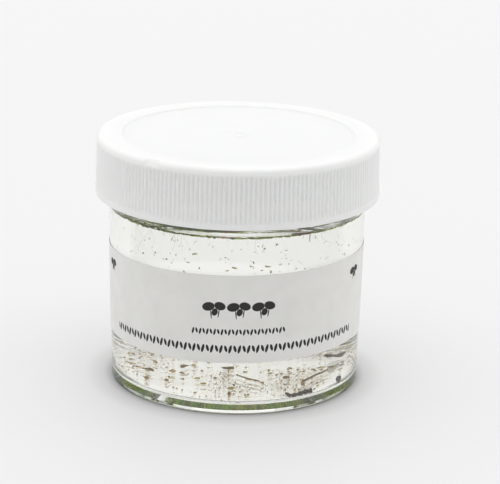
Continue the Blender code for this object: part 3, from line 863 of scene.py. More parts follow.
def shore(angle):
    """Where clear water begins: mat_reach with more margins, each (middle, half, soft, width)."""
    edge = mat_reach(angle) - SHORE_INSET
    for centre_deg, half_deg, soft_deg, width in SHORE_MARGINS:
        inside = math.radians(half_deg) - turned_from(angle, math.radians(centre_deg))
        margin = width * smoothstep(0.0, math.radians(soft_deg), inside)
        edge = np.minimum(edge, WALL_RADIUS - MAT_CLEARANCE - margin)
    return edge


def off_patches(places, margin):
    """True where places lie outside the bare patches, by a margin."""
    return np.all([np.hypot(*(places - middle).T) >= size + margin for middle, size in BARE_PATCHES], 0)


def plant_centres():
    """The plants' middles: equal shares of the disc's area, a golden angle apart, nudged."""
    number = np.arange(PLANT_PLACES)
    places = polar(SPIRAL_RADIUS * np.sqrt((number + 0.5) / PLANT_PLACES), number * GOLDEN_ANGLE)
    places += np.random.default_rng(11).uniform(-PLANT_NUDGE, PLANT_NUDGE, (PLANT_PLACES, 2))
    inside = np.hypot(*places.T) < mat_reach(np.arctan2(places[:, 1], places[:, 0])) - PLANT_INSET
    return places[inside & off_patches(places, 0.0)]


centres = plant_centres()
print("plants:", len(centres))

# %% The plants
ROOM = 0.94
MIDDLE_SHARE = 0.44
ROOT_SHARE = 0.2
draws = np.random.default_rng(23)
looks = np.random.default_rng(5)
big_fronds = []
for number, centre in enumerate(centres, start=1):
    count = int(draws.integers(3, 5))
    first = draws.uniform(0.0, math.tau)
    headings, lengths = np.array([
        (first + math.tau * k / count + draws.uniform(-0.15, 0.15), FROND_LENGTH * draws.uniform(0.8, 1.0))
        for k in range(count)]).T
    others = np.delete(centres, number - 1, 0) - centre
    facing = np.cos(headings[:, None] - np.arctan2(others[:, 1], others[:, 0]))
    half_way = np.hypot(*others.T) / 2.0 + 0.25
    room = np.where(facing > 0.0, half_way / np.maximum(facing, 1e-6), 99.0).min(1)
    tips = centre + polar(1.0, headings) * (ROOM * lengths)[:, None]
    edge = shore(np.arctan2(tips[:, 1], tips[:, 0])) + 0.15
    over = np.maximum(np.hypot(*tips.T) - edge, 0.0)
    lengths = np.clip(np.minimum(lengths, room / ROOM) - over, SHORTEST_FROND, None)
    middles = centre + polar(1.0, headings) * (MIDDLE_SHARE * lengths)[:, None]
    places = np.column_stack((middles, WATER_LEVEL + 0.1 + 0.06 * (np.arange(count) % 2)))
    points, faces, marks, per_pad = frond_pads(places, headings, lengths, looks.normal(0.0, 0.03, count),
                                               looks, 16, (0.4, 0.75, 0.94))
    tones = np.clip(looks.normal(0.42, 0.16) + looks.normal(0.0, 0.08, count), 0.05, 0.95)
    root_starts = places - np.array((0.0, 0.0, 0.2))
    root_starts[:, :2] -= polar(1.0, headings) * (ROOT_SHARE * lengths)[:, None]
    root_lengths = looks.gamma(2.0, 0.9, count) + 0.8
    root_points, root_faces = roots(root_starts, root_lengths, looks.uniform(0.025, 0.04, count),
                                    looks.uniform(0.05, 0.4, count), looks)
    big_fronds.append(np.column_stack((middles, headings, lengths)))
    rootless = np.zeros(len(root_points))
    make_piece(f"floating_plant_{number:02d}", np.concatenate((points, root_points)),
               faces + [group + len(points) for group in root_faces], [frond_green, root_thread],
               "duckweed", [f"duckweed_plant_{number:02d}"],
               values={"tone": np.append(np.repeat(tones, per_pad), rootless),
                       "under": np.append(marks["under"], rootless)},
               finish_of_face=np.repeat([0, 1], [sum(map(len, faces)), sum(map(len, root_faces))]))
big_fronds = np.concatenate(big_fronds)

# %% [markdown]
# ## Young fronds
# Between the plants lie many young fronds of 1 to 2 mm. They are thrown at random on the mat and kept
# where they touch no larger frond and no earlier one, which is how a real mat closes its gaps. More
# fronds are crowded under them, out of sight from the side except as the mat's thickness.

# %% Young fronds between the plants
FROND_SLIM = 0.36
YOUNG_TRIES = 6000
YOUNG_LARGEST = 0.95


def clearance(places, ovals):
    """Distance, in mm, from places to the nearest of some ovals (x, y, heading, length)."""
    offset = places[:, None, :] - ovals[None, :, :2]
    cosine, sine = np.cos(ovals[:, 2]), np.sin(ovals[:, 2])
    along = (offset[..., 0] * cosine + offset[..., 1] * sine) / (ovals[:, 3] / 2.0)
    across = (-offset[..., 0] * sine + offset[..., 1] * cosine) / (FROND_SLIM * ovals[:, 3])
    return ((np.hypot(along, across) - 1.0) * FROND_SLIM * ovals[:, 3]).min(1)


def young_places(count, rng):
    """Places and sizes of young fronds that fit into the gaps of the mat, the roomiest first."""
    radius = (WALL_RADIUS - 0.9) * np.sqrt(rng.uniform(0.0, 1.0, count))
    angle = rng.uniform(-np.pi, np.pi, count)
    places = polar(radius, angle)
    room = clearance(places, big_fronds)
    fits = (room > 0.35) & (radius < shore(angle) - 0.4) & off_patches(places, 0.4)
    places, room = places[fits], room[fits]
    kept = []
    for number in np.argsort(-room):
        size = min(room[number], YOUNG_LARGEST)
        if all(math.hypot(*(places[number] - places[other])) > 0.8 * (size + other_size)
               for other, other_size in kept):
            kept.append((number, size))
    chosen, sizes = zip(*kept)
    return places[np.array(chosen)], np.array(sizes)


rng = np.random.default_rng(31)
places, sizes = young_places(YOUNG_TRIES, rng)
count = len(places)
made = frond_pads(np.column_stack((places, np.full(count, WATER_LEVEL + 0.04))),
                  rng.uniform(0.0, FULL_TURN, count), 2.1 * sizes, rng.normal(0.0, 0.06, count), rng)
toned_piece("young_fronds", made, np.clip(rng.normal(0.55, 0.2, count), 0.05, 0.98), frond_green, "duckweed")
print("young fronds:", count)

# %% A second layer of fronds, crowded under the first
LOWER_FRONDS = 700
LOWER_DEPTHS = 4
SIGHT_FALL = 0.2
rng = np.random.default_rng(37)
order = np.arange(LOWER_FRONDS)
places = polar((WALL_RADIUS - 1.8) * np.sqrt((order + 0.5) / LOWER_FRONDS), order * GOLDEN_ANGLE + 1.0)
places += rng.normal(0.0, 0.3, (LOWER_FRONDS, 2))
depths = 0.3 + 0.13 * (order % LOWER_DEPTHS)
radius = np.hypot(*places.T)
fits = (radius < shore(np.arctan2(places[:, 1], places[:, 0])) - 1.6) & off_patches(places, 1.0)
fits &= (WALL_RADIUS - radius - 1.3) * SIGHT_FALL > depths + 0.1
centres = np.column_stack((places, WATER_LEVEL - depths))[fits]
count = len(centres)
made = frond_pads(centres, rng.uniform(0.0, FULL_TURN, count), rng.uniform(2.4, 3.3, count),
                  rng.normal(0.0, 0.04, count), rng, rings=(0.5, 0.88))
toned_piece("lower_fronds", made, np.clip(rng.normal(0.4, 0.2, count), 0.02, 0.98), frond_green, "duckweed")
print("lower fronds:", count)

# %% [markdown]
# ## Fronds along the wall
# Small fronds gather where the climbing water pulls them in: rows round the back, a fringe at the
# mat's front edge, and a loose clump at the back right that has begun to sink. Through the wall above
# the water they would not show, because light is turned back inside the plastic there. What does
# show is what touches the wet wall: seedlings at the waterline, a film of them at the left, and a
# faint tide line that the water left when it stood higher.

# %% Rows of small fronds
RIM_TONES = ((-104.0, -97.5, 0.0), (-97.5, -91.0, 1.0), (-62.0, -56.0, 1.0), (-118.0, -113.0, 0.05),
             (-46.0, 2.0, 0.7))
SUNKEN_CLUMP = ((0.3, 33.0, 58.0, 44), (0.75, 36.0, 56.0, 34), (1.2, 39.0, 54.0, 24), (1.6, 42.0, 51.0, 12))
BACK_ARCS = (("right", 150, 2.0, 131.0), ("left", 52, 140.0, 186.0))
SMALL = (0.55, 1.1)
MEDIUM = (1.2, 2.0)


def paint_rim(tones, angle):
    """Sets the tone of the stretches of the waterline that look different in the photograph."""
    for low_deg, high_deg, level in RIM_TONES:
        tones[(np.degrees(angle) > low_deg) & (np.degrees(angle) < high_deg)] = level


def frond_row(name, count, start_deg, end_deg, reach, sizes, stagger, lift, seed, tumble=0.04):
    """A crowded row of small fronds round part of the jar, each lying along the row, tipped by tumble.

    reach is the row's radius, as a number or as a function of the angle.
    """
    rng = np.random.default_rng(seed)
    angle = np.radians(np.linspace(start_deg, end_deg, count)) + rng.uniform(-0.02, 0.02, count)
    radius = (reach(angle) if callable(reach) else reach) - rng.uniform(0.0, stagger, count)
    centres = np.column_stack((polar(radius, angle), water_top(radius) + lift))
    centres[:, 2] += rng.normal(0.0, 0.75 * tumble, count)
    headings = angle + math.pi / 2.0 + rng.normal(0.0, 0.2 + tumble, count)
    points, faces, _, per_pad = frond_pads(centres, headings, rng.uniform(*sizes, count),
                                           rng.normal(0.0, tumble, count), rng)
    slow = 0.5 + 0.5 * np.sin(5.0 * angle + 1.0) * np.sin(11.0 * angle)
    tones = np.clip(rng.normal(0.2 + 0.4 * slow, 0.13), 0.0, 0.85)
    paint_rim(tones, angle)
    toned_piece(name, (points, faces, {}, per_pad), tones, seedling_green, "duckweed")


for side, count, start_deg, end_deg in BACK_ARCS:
    frond_row(f"wall_row_{side}", count, start_deg, end_deg, WALL_RADIUS - 0.36, SMALL, 0.12, -0.03, 47)
    frond_row(f"back_row_{side}", int(0.8 * count), start_deg + 1.5, end_deg - 1.5, WALL_RADIUS - 0.9,
              MEDIUM, 0.5, 0.0, 51)
for layer, (sunk, start_deg, end_deg, count) in enumerate(SUNKEN_CLUMP, start=1):
    frond_row(f"sunken_clump_{layer}", count, start_deg, end_deg, inner(WATER_LEVEL - sunk) - 0.6,
              (0.8, 1.7), 0.6, -sunk, 60 + layer, tumble=0.35)
frond_row("clump_edge", 22, 36.0, 56.0, 21.6, (1.4, 2.0), 0.8, -0.1, 59)
frond_row("mat_edge_fronds", 110, -150.0, -8.0, lambda angle: shore(angle) + 0.1, (1.3, 2.2), 0.9, 0.06, 49)

# %% Seedlings stuck to the wall
TIDE_LEVEL = 0.9


def stuck_row(name, count, start_deg, end_deg, level, spread, lengths, widths, tone, seed):
    """Seedlings on the wet wall, at a level over the water. They touch the plastic, so they show."""
    rng = np.random.default_rng(seed)
    angle = np.radians(np.linspace(start_deg, end_deg, count)) + rng.normal(0.0, 0.01, count)
    up = WATER_LEVEL + level + spread * rng.uniform(-1.0, 1.0, count)
    thick = rng.uniform(0.14, 0.2, count)
    outward = heading(angle)
    along = unit(sideways(angle, rng.normal(0.0, 0.08, count)))
    places = outward * (inner(up) - 0.5 * thick + CONTACT)[:, None]
    places[:, 2] = up
    frames = np.stack((places, along, np.cross(outward, along), outward), 1)
    made = grains(frames, rng.uniform(*lengths, count), rng.uniform(*widths, count), thick, rng, spokes=9)
    tones = np.clip(rng.normal(tone, 0.14, count), 0.0, 0.9)
    if level < TIDE_LEVEL:
        paint_rim(tones, angle)
    toned_piece(name, made, tones, seedling_green, "duckweed")


stuck_row("waterline_seedlings", 260, -186.0, 100.0, 0.2, 0.08, (0.9, 1.7), (0.3, 0.5), 0.3, 52)
stuck_row("waterline_specks", 130, -182.0, -2.0, 0.32, 0.12, (0.4, 0.8), (0.16, 0.3), 0.5, 53)
stuck_row("tide_line", 190, -178.0, -2.0, 1.25, 0.03, (0.8, 1.6), (0.14, 0.22), 0.05, 54)
stuck_row("brushy_clump", 34, -143.0, -122.0, 0.4, 0.35, (0.4, 1.3), (0.2, 0.42), 0.12, 55)
stuck_row("rust_bits", 4, -63.4, -61.2, 1.05, 0.1, (0.5, 1.1), (0.2, 0.36), 0.9, 57)
stuck_row("left_film", 150, -177.0, -126.0, 0.75, 0.45, (0.5, 1.6), (0.12, 0.24), 0.65, 56)

# %% [markdown]
# ## Litter on the floor
# Bits of bark, dead leaf and root have sunk to the jar's floor. The larger ones lie where the solids
# hold them. A twig is a path with a ring of points round it, whose radius carries bark ridges. A leaf
# scrap is a pad with a ragged outline. Soaked bark is dark and rough. Dead leaf is thin and lets
# light through, and being wet all round it has an index near 1.

# %% Finish: wet bark and dead leaf
bark = mottled("wet_bark", 0.5, 6.0, ((0.3, "#4A3820"), (0.5, "#775C34"), (0.75, "#A5854F")),
               relief=(0.8, 0.08), Roughness=0.55, IOR=1.45)
dark_bark = mottled("soaked_dark_bark", 0.4, 6.0, ((0.3, "#3A2A14"), (0.5, "#664929"), (0.75, "#957046")),
                    relief=(0.8, 0.1), Roughness=0.6, IOR=1.42)
red_rootlet = mottled("red_rootlet", 0.4, 4.0, ((0.3, "#96563A"), (0.55, "#C27C50"), (0.8, "#DCAA7A")),
                      Roughness=0.5, IOR=1.45)
dead_leaf = mottled("dead_leaf", 0.7, 5.0, ((0.3, "#967F4C"), (0.55, "#C3AA70"), (0.8, "#E4D09C")),
                    relief=(0.6, 0.06), Roughness=0.6, IOR=1.05, Transmission_Weight=0.55,
                    Subsurface_Weight=0.6, Subsurface_Radius=(1.0, 0.8, 0.45), Subsurface_Scale=0.6 * MM)

# %% Twigs
LITTER_REST = FLOOR_TOP + 0.3
AFLOAT = WATER_LEVEL + 0.25


def along_curve(route, count):
    """Points of a smooth curve through a route's points (Catmull-Rom), and its directions."""
    ends = np.concatenate((2.0 * route[:1] - route[1:2], route, 2.0 * route[-1:] - route[-2:-1]))
    share = np.linspace(0.0, len(route) - 1.0, count)
    leg = np.minimum(share.astype(int), len(route) - 2)
    t = (share - leg)[:, None]
    a, b, c, d = (ends[leg + step] for step in range(4))
    places = 0.5 * (2.0 * b + (c - a) * t + (2.0 * a - 5.0 * b + 4.0 * c - d) * t ** 2
                    + (3.0 * b - a - 3.0 * c + d) * t ** 3)
    return places, unit(np.gradient(places, axis=0))


def twig(rng, route, radius, thin_end, steps, sides, rough=0.16):
    """A bar along a curve. Its radius tapers to thin_end and carries bark ridges, a sum of sines."""
    places, directions = along_curve(route, steps)
    side = unit(np.cross(directions, (0.0, 0.0, 1.0)))
    up = np.cross(side, directions)
    share = np.linspace(0.0, 1.0, steps)[:, None]
    angle = 2.0 * np.pi * np.arange(sides)[None, :] / sides
    phases = rng.uniform(0.0, FULL_TURN, 6)
    bumps = (np.sin(3.0 * angle + phases[0] + 9.0 * share) + np.sin(5.0 * angle + phases[1] - 14.0 * share)
             + 1.3 * np.sin(31.0 * share + phases[2]) + np.sin(57.0 * share + 2.0 * angle + phases[3])) / 4.3
    ends = np.sqrt(np.clip(np.minimum(share, 1.0 - share) / 0.02, 0.25, 1.0))
    local = radius * (1.0 - (1.0 - thin_end) * share) * (1.0 + rough * bumps) * ends
    offset = side[:, None] * np.cos(angle)[..., None] + up[:, None] * np.sin(angle)[..., None]
    return capped((places[:, None] + local[..., None] * offset)[::-1])


def twigs(rng, base, parts):
    """Twigs as one piece. Each part is a route, with heights over base, and the rest of a twig's sizes."""
    points, faces, start = [], [], 0
    for route, *sizes in parts:
        part_points, part_faces = twig(rng, np.array(route) + (0.0, 0.0, base), *sizes)
        points.append(part_points)
        faces += [group + start for group in part_faces]
        start += len(part_points)
    return np.concatenate(points), faces


rng = np.random.default_rng(61)
make_piece("bark_stick", *twigs(rng, LITTER_REST, [
    (((14.6, -17.2, 0.1), (14.2, -17.6, 0.12), (13.1, -18.5, 0.15), (12.0, -19.2, 0.05), (11.0, -19.8, 0.0),
      (10.4, -20.1, -0.02)), 0.46, 0.6, 56, 14, 0.5),
    (((14.2, -17.4, 0.3), (14.4, -17.3, 0.75)), 0.2, 0.6, 10, 8, 0.4),
    (((13.4, -18.0, 0.3), (13.2, -17.9, 0.8)), 0.18, 0.6, 10, 8, 0.4),
    (((14.9, -17.0, 0.2), (15.3, -16.5, 0.35)), 0.16, 0.5, 10, 8, 0.4),
    (((12.4, -18.8, 0.3), (12.0, -18.5, 0.6)), 0.13, 0.6, 10, 8, 0.4),
    (((10.6, -20.2, 0.1), (10.1, -19.2, 0.05), (9.5, -17.9, 0.0)), 0.34, 0.6, 24, 10, 0.4)]),
    [dark_bark], "wet_bark", ["stick_front"])
make_piece("long_twig", *twigs(rng, LITTER_REST, [
    (((11.6, -11.2, 0.3), (12.4, -8.6, 0.3), (13.2, -6.2, 0.3), (14.7, -2.4, 0.25)),
     0.26, 0.55, 60, 10, 0.25),
    (((12.5, -8.4, 0.35), (11.9, -7.2, 0.3)), 0.11, 0.5, 12, 6),
    (((13.3, -5.9, 0.35), (14.3, -5.3, 0.3)), 0.1, 0.5, 12, 6)]), [dead_leaf], "wet_bark", ["twig_long"])
make_piece("dead_root", *twigs(rng, LITTER_REST, [
    (((0.4, -4.3, 0.2), (1.9, -6.8, 0.2), (3.9, -8.9, 0.2), (4.8, -11.0, 0.2)), 0.16, 0.6, 50, 8, 0.3)]),
    [dead_leaf], "wet_bark", ["root_strand"])
make_piece("floating_twig", *twigs(rng, AFLOAT, [
    (((10.2, -20.8, 0.0), (11.2, -20.4, 0.08), (12.3, -19.9, 0.02), (13.1, -19.4, 0.0)),
     0.2, 0.6, 40, 8, 0.35),
    (((13.0, -19.5, 0.0), (13.5, -19.15, -0.15), (13.45, -19.15, -0.9), (13.5, -19.1, -1.8)),
     0.13, 0.5, 30, 8, 0.3),
    (((13.1, -19.4, 0.0), (14.2, -18.5, 0.1), (15.3, -17.4, 0.0)), 0.12, 0.5, 24, 8, 0.3)]),
    [red_rootlet], "wet_bark", ["twig_afloat"])

# %% Leaf scraps and husk
SCRAPS = (("dark_leaf_chip", "leaf_chip_dark", (13.2, 6.9), 3.3, 2.3, 1.2, 52.0, bark),
          ("left_leaf_scrap", "leaf_scrap_left", (-13.5, -4.2), 2.6, 1.5, 0.5, -35.0, dead_leaf),
          ("middle_leaf_scrap", "leaf_scrap_middle", (-7.2, 0.9), 2.9, 1.1, 0.45, 60.0, dead_leaf),
          ("back_leaf_scrap", "leaf_scrap_back", (-0.9, 1.0), 2.2, 1.5, 0.4, 15.0, dead_leaf))


def scrap(centre, length, width, thickness, turn_deg, rng, spokes=28):
    """A ragged flat scrap: an oval whose edge carries a sum of sines, curled along its length."""
    spoke = 2.0 * np.pi * np.arange(spokes) / spokes
    phases = rng.uniform(0.0, FULL_TURN, 3)
    ragged = (0.86 + 0.07 * np.sin(3.0 * spoke + phases[0]) + 0.05 * np.sin(7.0 * spoke + phases[1])
              + 0.04 * np.sin(12.0 * spoke + phases[2]))
    outline = np.stack((0.5 * length * ragged * np.cos(spoke), 0.5 * width * ragged * np.sin(spoke)), -1)
    turn = math.radians(turn_deg)
    frames = np.array([[(*centre, LITTER_REST), heading(turn), sideways(turn), (0.0, 0.0, 1.0)]])

    def face(base, edge):
        return lambda share, px, py: (
            base * thickness + 0.25 * thickness * np.sin(2.2 * px / length * math.pi + phases[1])
            + 0.2 * thickness * py / width + edge * thickness * share ** 4)

    return pads(frames, outline[None], face(0.7, -0.12), face(0.3, 0.12), (0.3, 0.6, 0.85, 0.97))[:2]


rng = np.random.default_rng(71)
for name, node, centre, length, width, thickness, turn_deg, finish in SCRAPS:
    make_piece(name, *scrap(centre, length, width, thickness, turn_deg, rng), [finish], "dead_leaf", [node])


def make_husk(centre, radius, thickness, facing_deg):
    """A seed husk on edge: a ring with a thick rounded rim, whose section is a flattened circle."""
    around, across = 28, 12
    u = 2.0 * np.pi * np.arange(around)[:, None] / around
    v = 2.0 * np.pi * np.arange(across)[None, :] / across
    section = 0.46 * radius
    reach = radius - section + section * np.cos(v) * (1.0 + 0.12 * np.sin(3.0 * u) + 0.08 * np.sin(7.0 * u))
    depth = 0.5 * thickness * np.sin(v)
    facing = math.radians(facing_deg)
    points = (np.array(centre) + (reach * np.cos(u))[..., None] * sideways(facing)
              + (reach * np.sin(u))[..., None] * np.array((0.0, 0.0, 1.0))
              + depth[..., None] * heading(facing))
    return points.reshape(-1, 3), [quads(around, across, wrap_rows=True)[:, ::-1]]


make_piece("round_husk", *make_husk((19.45, -11.25, LITTER_REST + 0.42), 0.72, 0.62, -66.0), [dark_bark],
           "wet_bark", ["seed_husk"])

# %% [markdown]
# ## Specks and silt
# The floor is strewn with crumbs of bark and leaf and dusted with silt in loose drifts. Each grain is a
# tiny closed pad. Drifts come from a density that is a sum of soft round hills: a grain is kept with
# that chance. Wet crumbs let some light through, so their index is near 1 too.

# %% Finish: specks
speck_finish, tree, place = new_finish(
    "bark_and_leaf_crumbs", Roughness=0.6, IOR=1.04, Transmission_Weight=0.7, Subsurface_Weight=0.6,
    Subsurface_Radius=(1.0, 0.7, 0.35), Subsurface_Scale=0.4 * MM)
crumb = add(tree, "TexNoise", {"Vector": place, "Scale": per_mm(0.2), "Detail": 2.0})
tone = add(tree, "Attribute", attribute_name="tone").outputs["Fac"]
crumb_tone = add(tree, "Math", {0: crumb, 1: 0.2, 2: tone}, operation="MULTIPLY_ADD")
dress(tree, Base_Color=add(tree, "ValToRGB", {"Fac": crumb_tone}, (
    (0.1, "#7C5A2A"), (0.4, "#BF944C"), (0.65, "#D8B96E"), (0.85, "#E8D6A0"), (1.0, "#F2EAD0"))))

floc_finish, tree, place = new_finish("soft_flocs", Roughness=0.5, IOR=1.02, Transmission_Weight=0.7)
tone = add(tree, "Attribute", attribute_name="tone").outputs["Fac"]
dress(tree, Base_Color=add(tree, "ValToRGB", {"Fac": tone}, (
    (0.1, "#6B5532"), (0.4, "#A89A5C"), (0.65, "#C6C184"), (0.9, "#DEDCB4"), (1.1, "#ECEBD2"))))

# %% Specks on the floor
FLOOR_REACH = inner(FLOOR_TOP) - FLOOR_FILLET
HILLS = 70
SPECK_TRIES = 2600
SILT_TRIES = 26000


def flat_frames(places, turns):
    """Frames of pads that lie flat: along and across turned about the vertical."""
    return np.stack((places, heading(turns), sideways(turns), np.tile((0.0, 0.0, 1.0), (len(turns), 1))), 1)


def drift(places, hills):
    """Density of the silt at places: a sum of soft hills (x, y, width, weight)."""
    distance = np.hypot(places[:, None, 0] - hills[:, 0], 0.8 * (places[:, None, 1] - hills[:, 1]))
    return (hills[:, 3] * np.exp(-(distance / hills[:, 2]) ** 2)).sum(1)


def strewn(count, rng, hills=None):
    """Random places on the floor, kept by the drifts' density where hills are given."""
    radius = FLOOR_REACH * np.sqrt(rng.uniform(0.0, 1.0, count))
    places = polar(radius, rng.uniform(-np.pi, np.pi, count))
    if hills is not None:
        places = places[rng.uniform(0.0, 1.0, count) < drift(places, hills)]
    return places


rng = np.random.default_rng(83)
hills = np.column_stack((strewn(HILLS, rng), rng.uniform(0.8, 3.6, HILLS), rng.uniform(0.15, 0.7, HILLS)))

places = strewn(SPECK_TRIES, rng, hills)
count = len(places)
lengths = 0.1 + rng.gamma(1.5, 0.12, count)
widths = lengths * rng.uniform(0.4, 0.95, count)
heights = 0.75 * widths
places = np.column_stack((places, FLOOR_TOP + 0.5 * heights + 0.01))
frames = flat_frames(places, rng.uniform(0.0, FULL_TURN, count))
made = grains(frames, lengths, widths, heights, rng)
tones = np.clip(0.12 + rng.beta(1.5, 2.0, count), 0.0, 1.0)
toned_piece("floor_specks", made, tones, speck_finish, "dead_leaf")
print("specks:", count)

places = strewn(SILT_TRIES, rng, hills)
count = len(places)
lengths = rng.uniform(0.07, 0.18, count)
places = np.column_stack((places, FLOOR_TOP + 0.25 * lengths))
frames = flat_frames(places, rng.uniform(0.0, FULL_TURN, count))
made = grains(frames, lengths, 0.8 * lengths, 0.5 * lengths, rng, spokes=4)
tones = np.clip(rng.normal(0.6, 0.15, count), 0.2, 1.0)
toned_piece("floor_silt", made, tones, speck_finish, "dead_leaf")
print("silt grains:", count)

# %% [markdown]
# ## Camera
# The camera stands in front of the label and looks down by 17 degrees, rolled by about one. These
# values were fitted to the outlines in the photograph. They come here because some flecks in the
# water are placed by where they are seen.

# %% Camera
PHOTO_WIDTH = 500.0
PHOTO_HEIGHT = 484.0
CAMERA_DISTANCE = 444.93
CAMERA_ELEVATION = 0.2955
CAMERA_ROLL = 0.021
FOCAL_PIXELS = 2258.26
CAMERA_ASIDE = -2.667
TARGET_HEIGHT = 26.903
SENSOR_WIDTH = 36.0

forward = np.array((0.0, math.cos(CAMERA_ELEVATION), -math.sin(CAMERA_ELEVATION)))
level_right = np.array((1.0, 0.0, 0.0))
level_up = np.cross(level_right, forward)
camera_right = math.cos(CAMERA_ROLL) * level_right + math.sin(CAMERA_ROLL) * level_up
camera_up = -math.sin(CAMERA_ROLL) * level_right + math.cos(CAMERA_ROLL) * level_up
target = np.array((0.0, 0.0, TARGET_HEIGHT))
camera_place = target - CAMERA_DISTANCE * forward - CAMERA_ASIDE * camera_right

camera_data = bpy.data.cameras.new("photo_camera")
camera_data.sensor_width = SENSOR_WIDTH
camera_data.lens = FOCAL_PIXELS * SENSOR_WIDTH / PHOTO_WIDTH
camera_data.clip_start = 0.01
camera = bpy.data.objects.new("photo_camera", camera_data)
bpy.context.scene.collection.objects.link(camera)
turn = np.column_stack((camera_right, camera_up, -forward))
camera.matrix_world = Matrix.Translation(Vector(camera_place * MM)) @ Matrix(turn.tolist()).to_4x4()
bpy.context.scene.camera = camera
print(f"lens {camera_data.lens:.1f} mm")

# %% [markdown]
# ## Flecks in the water
# Crumbs and fibres hang in the water and cling to the wall. The larger ones are placed where they
# are seen: a sight line leaves the camera, bends by Snell's law at the outside and the inside of the
# wall, and the fleck is set on the bent line. The smallest are strewn at random.

# %% Sight lines through the wall
def meet_cone(start, ray, foot_radius):
    """Where rays first meet the cone r = foot_radius + draft * z: the lower root of a quadratic."""
    slope_at = foot_radius + DRAFT * start[:, 2]
    a = ray[:, 0] ** 2 + ray[:, 1] ** 2 - (DRAFT * ray[:, 2]) ** 2
    b = start[:, 0] * ray[:, 0] + start[:, 1] * ray[:, 1] - DRAFT * ray[:, 2] * slope_at
    c = start[:, 0] ** 2 + start[:, 1] ** 2 - slope_at ** 2
    distance = (-b - np.sqrt(np.maximum(b ** 2 - a * c, 0.0))) / a
    place = start + distance[:, None] * ray
    outward = place[:, :2] / np.hypot(*place[:, :2].T)[:, None]
    return place, unit(np.column_stack((outward, np.full(len(place), -DRAFT))))


def bend(ray, normal, ratio):
    """Snell's law in vector form. ratio is the index before over the index after."""
    facing = -np.einsum("ij,ij->i", ray, normal)
    straight = np.sqrt(np.maximum(1.0 - ratio ** 2 * (1.0 - facing ** 2), 0.0))
    return ratio * ray + (ratio * facing - straight)[:, None] * normal


def into_water(across_px, down_px):
    """The place on the inside of the wall, and the direction beyond it, of sight lines through pixels."""
    ray = unit(forward + (across_px[:, None] - PHOTO_WIDTH / 2.0) / FOCAL_PIXELS * camera_right
               - (down_px[:, None] - PHOTO_HEIGHT / 2.0) / FOCAL_PIXELS * camera_up)
    outside, normal = meet_cone(np.repeat(camera_place[None], len(ray), 0), ray, FOOT_RADIUS)
    ray = bend(ray, normal, 1.0 / PLASTIC_INDEX)
    inside, normal = meet_cone(outside, ray, FOOT_RADIUS - WALL)
    return inside, bend(ray, normal, PLASTIC_INDEX / WATER_INDEX)


# %% Flecks placed by sight
FLECK_FIELDS = ("across_px", "down_px", "length", "width", "turn_deg", "tone", "depth")
FLECKS = np.array((
    (172, 238.7, 0.9, 0.3, 60, 0.55, 0.1), (173.8, 241, 0.6, 0.2, -50, 0.5, 0.1),
    (170, 253.3, 0.32, 0.28, 0, 0.25, 0.1), (166.4, 259.1, 0.55, 0.4, 10, 0.2, 0.1),
    (163.2, 258.9, 0.5, 0.16, 0, 0.5, 0.3), (194.3, 254, 1.2, 0.5, 10, 0.55, 2),
    (155, 252.6, 0.9, 0.45, -20, 0.75, 3), (142.9, 253, 0.8, 0.4, 15, 0.8, 2),
    (132, 250.9, 0.5, 0.3, 0, 0.75, 0.4), (149, 238.7, 0.5, 0.26, 60, 0.5, 0.1),
    (187.6, 262.3, 1.2, 0.22, -5, 0.7, 0.5), (234.3, 268, 1.1, 0.5, -10, 0.62, 3),
    (227, 270.9, 1, 0.4, 5, 0.66, 1), (253.6, 262.7, 0.75, 0.32, -62, 0.12, 0.1),
    (251.2, 261.2, 0.22, 0.2, 0, 0.2, 0.1), (267.9, 266.6, 1.4, 0.5, -12, 0.58, 1.5),
    (262.9, 245.9, 0.75, 0.22, 70, 0.6, 0.1), (277, 244.4, 0.8, 0.32, -15, 0.55, 0.6),
    (285.7, 255.1, 0.26, 0.24, 0, 0.4, 0.1), (327.9, 257.3, 0.7, 0.16, 40, 0.45, 0.1),
    (345, 253.7, 0.75, 0.4, 75, 0.28, 0.1), (324.3, 242.6, 0.4, 0.22, 35, 0.2, 0.1),
    (326.6, 241.2, 0.26, 0.2, 0, 0.22, 0.1), (337, 242.3, 0.34, 0.26, 0, 0.5, 0.2),
    (353.6, 238.7, 0.45, 0.36, 0, 0.85, 0.2), (315.7, 237.3, 0.8, 0.22, 75, 0.45, 0.1),
    (295, 269.7, 0.26, 0.22, 0, 0.3, 0.1), (305, 268.7, 0.65, 0.26, -35, 0.45, 0.1),
    (209.3, 244.4, 1.1, 0.07, 50, 0.5, 0.1), (194.3, 243, 0.9, 0.07, 65, 0.5, 0.1),
    (196, 241.5, 0.8, 0.07, 15, 0.5, 0.1), (300, 262.5, 2.6, 0.05, -32, 0.7, 0.1),
    (220.5, 259, 0.5, 0.18, -35, 0.62, 0.2), (241, 249.5, 0.45, 0.16, 30, 0.6, 0.1),
    (232, 251, 0.4, 0.2, 0, 0.62, 0.5), (262, 270.5, 0.8, 0.34, 20, 0.72, 3),
    (213, 246.8, 0.5, 0.18, -20, 0.62, 0.4), (182, 246, 0.4, 0.16, 45, 0.62, 0.2),
    (286.5, 250.4, 0.7, 0.2, 10, 0.66, 0.8)), float)
fleck = dict(zip(FLECK_FIELDS, FLECKS.T))


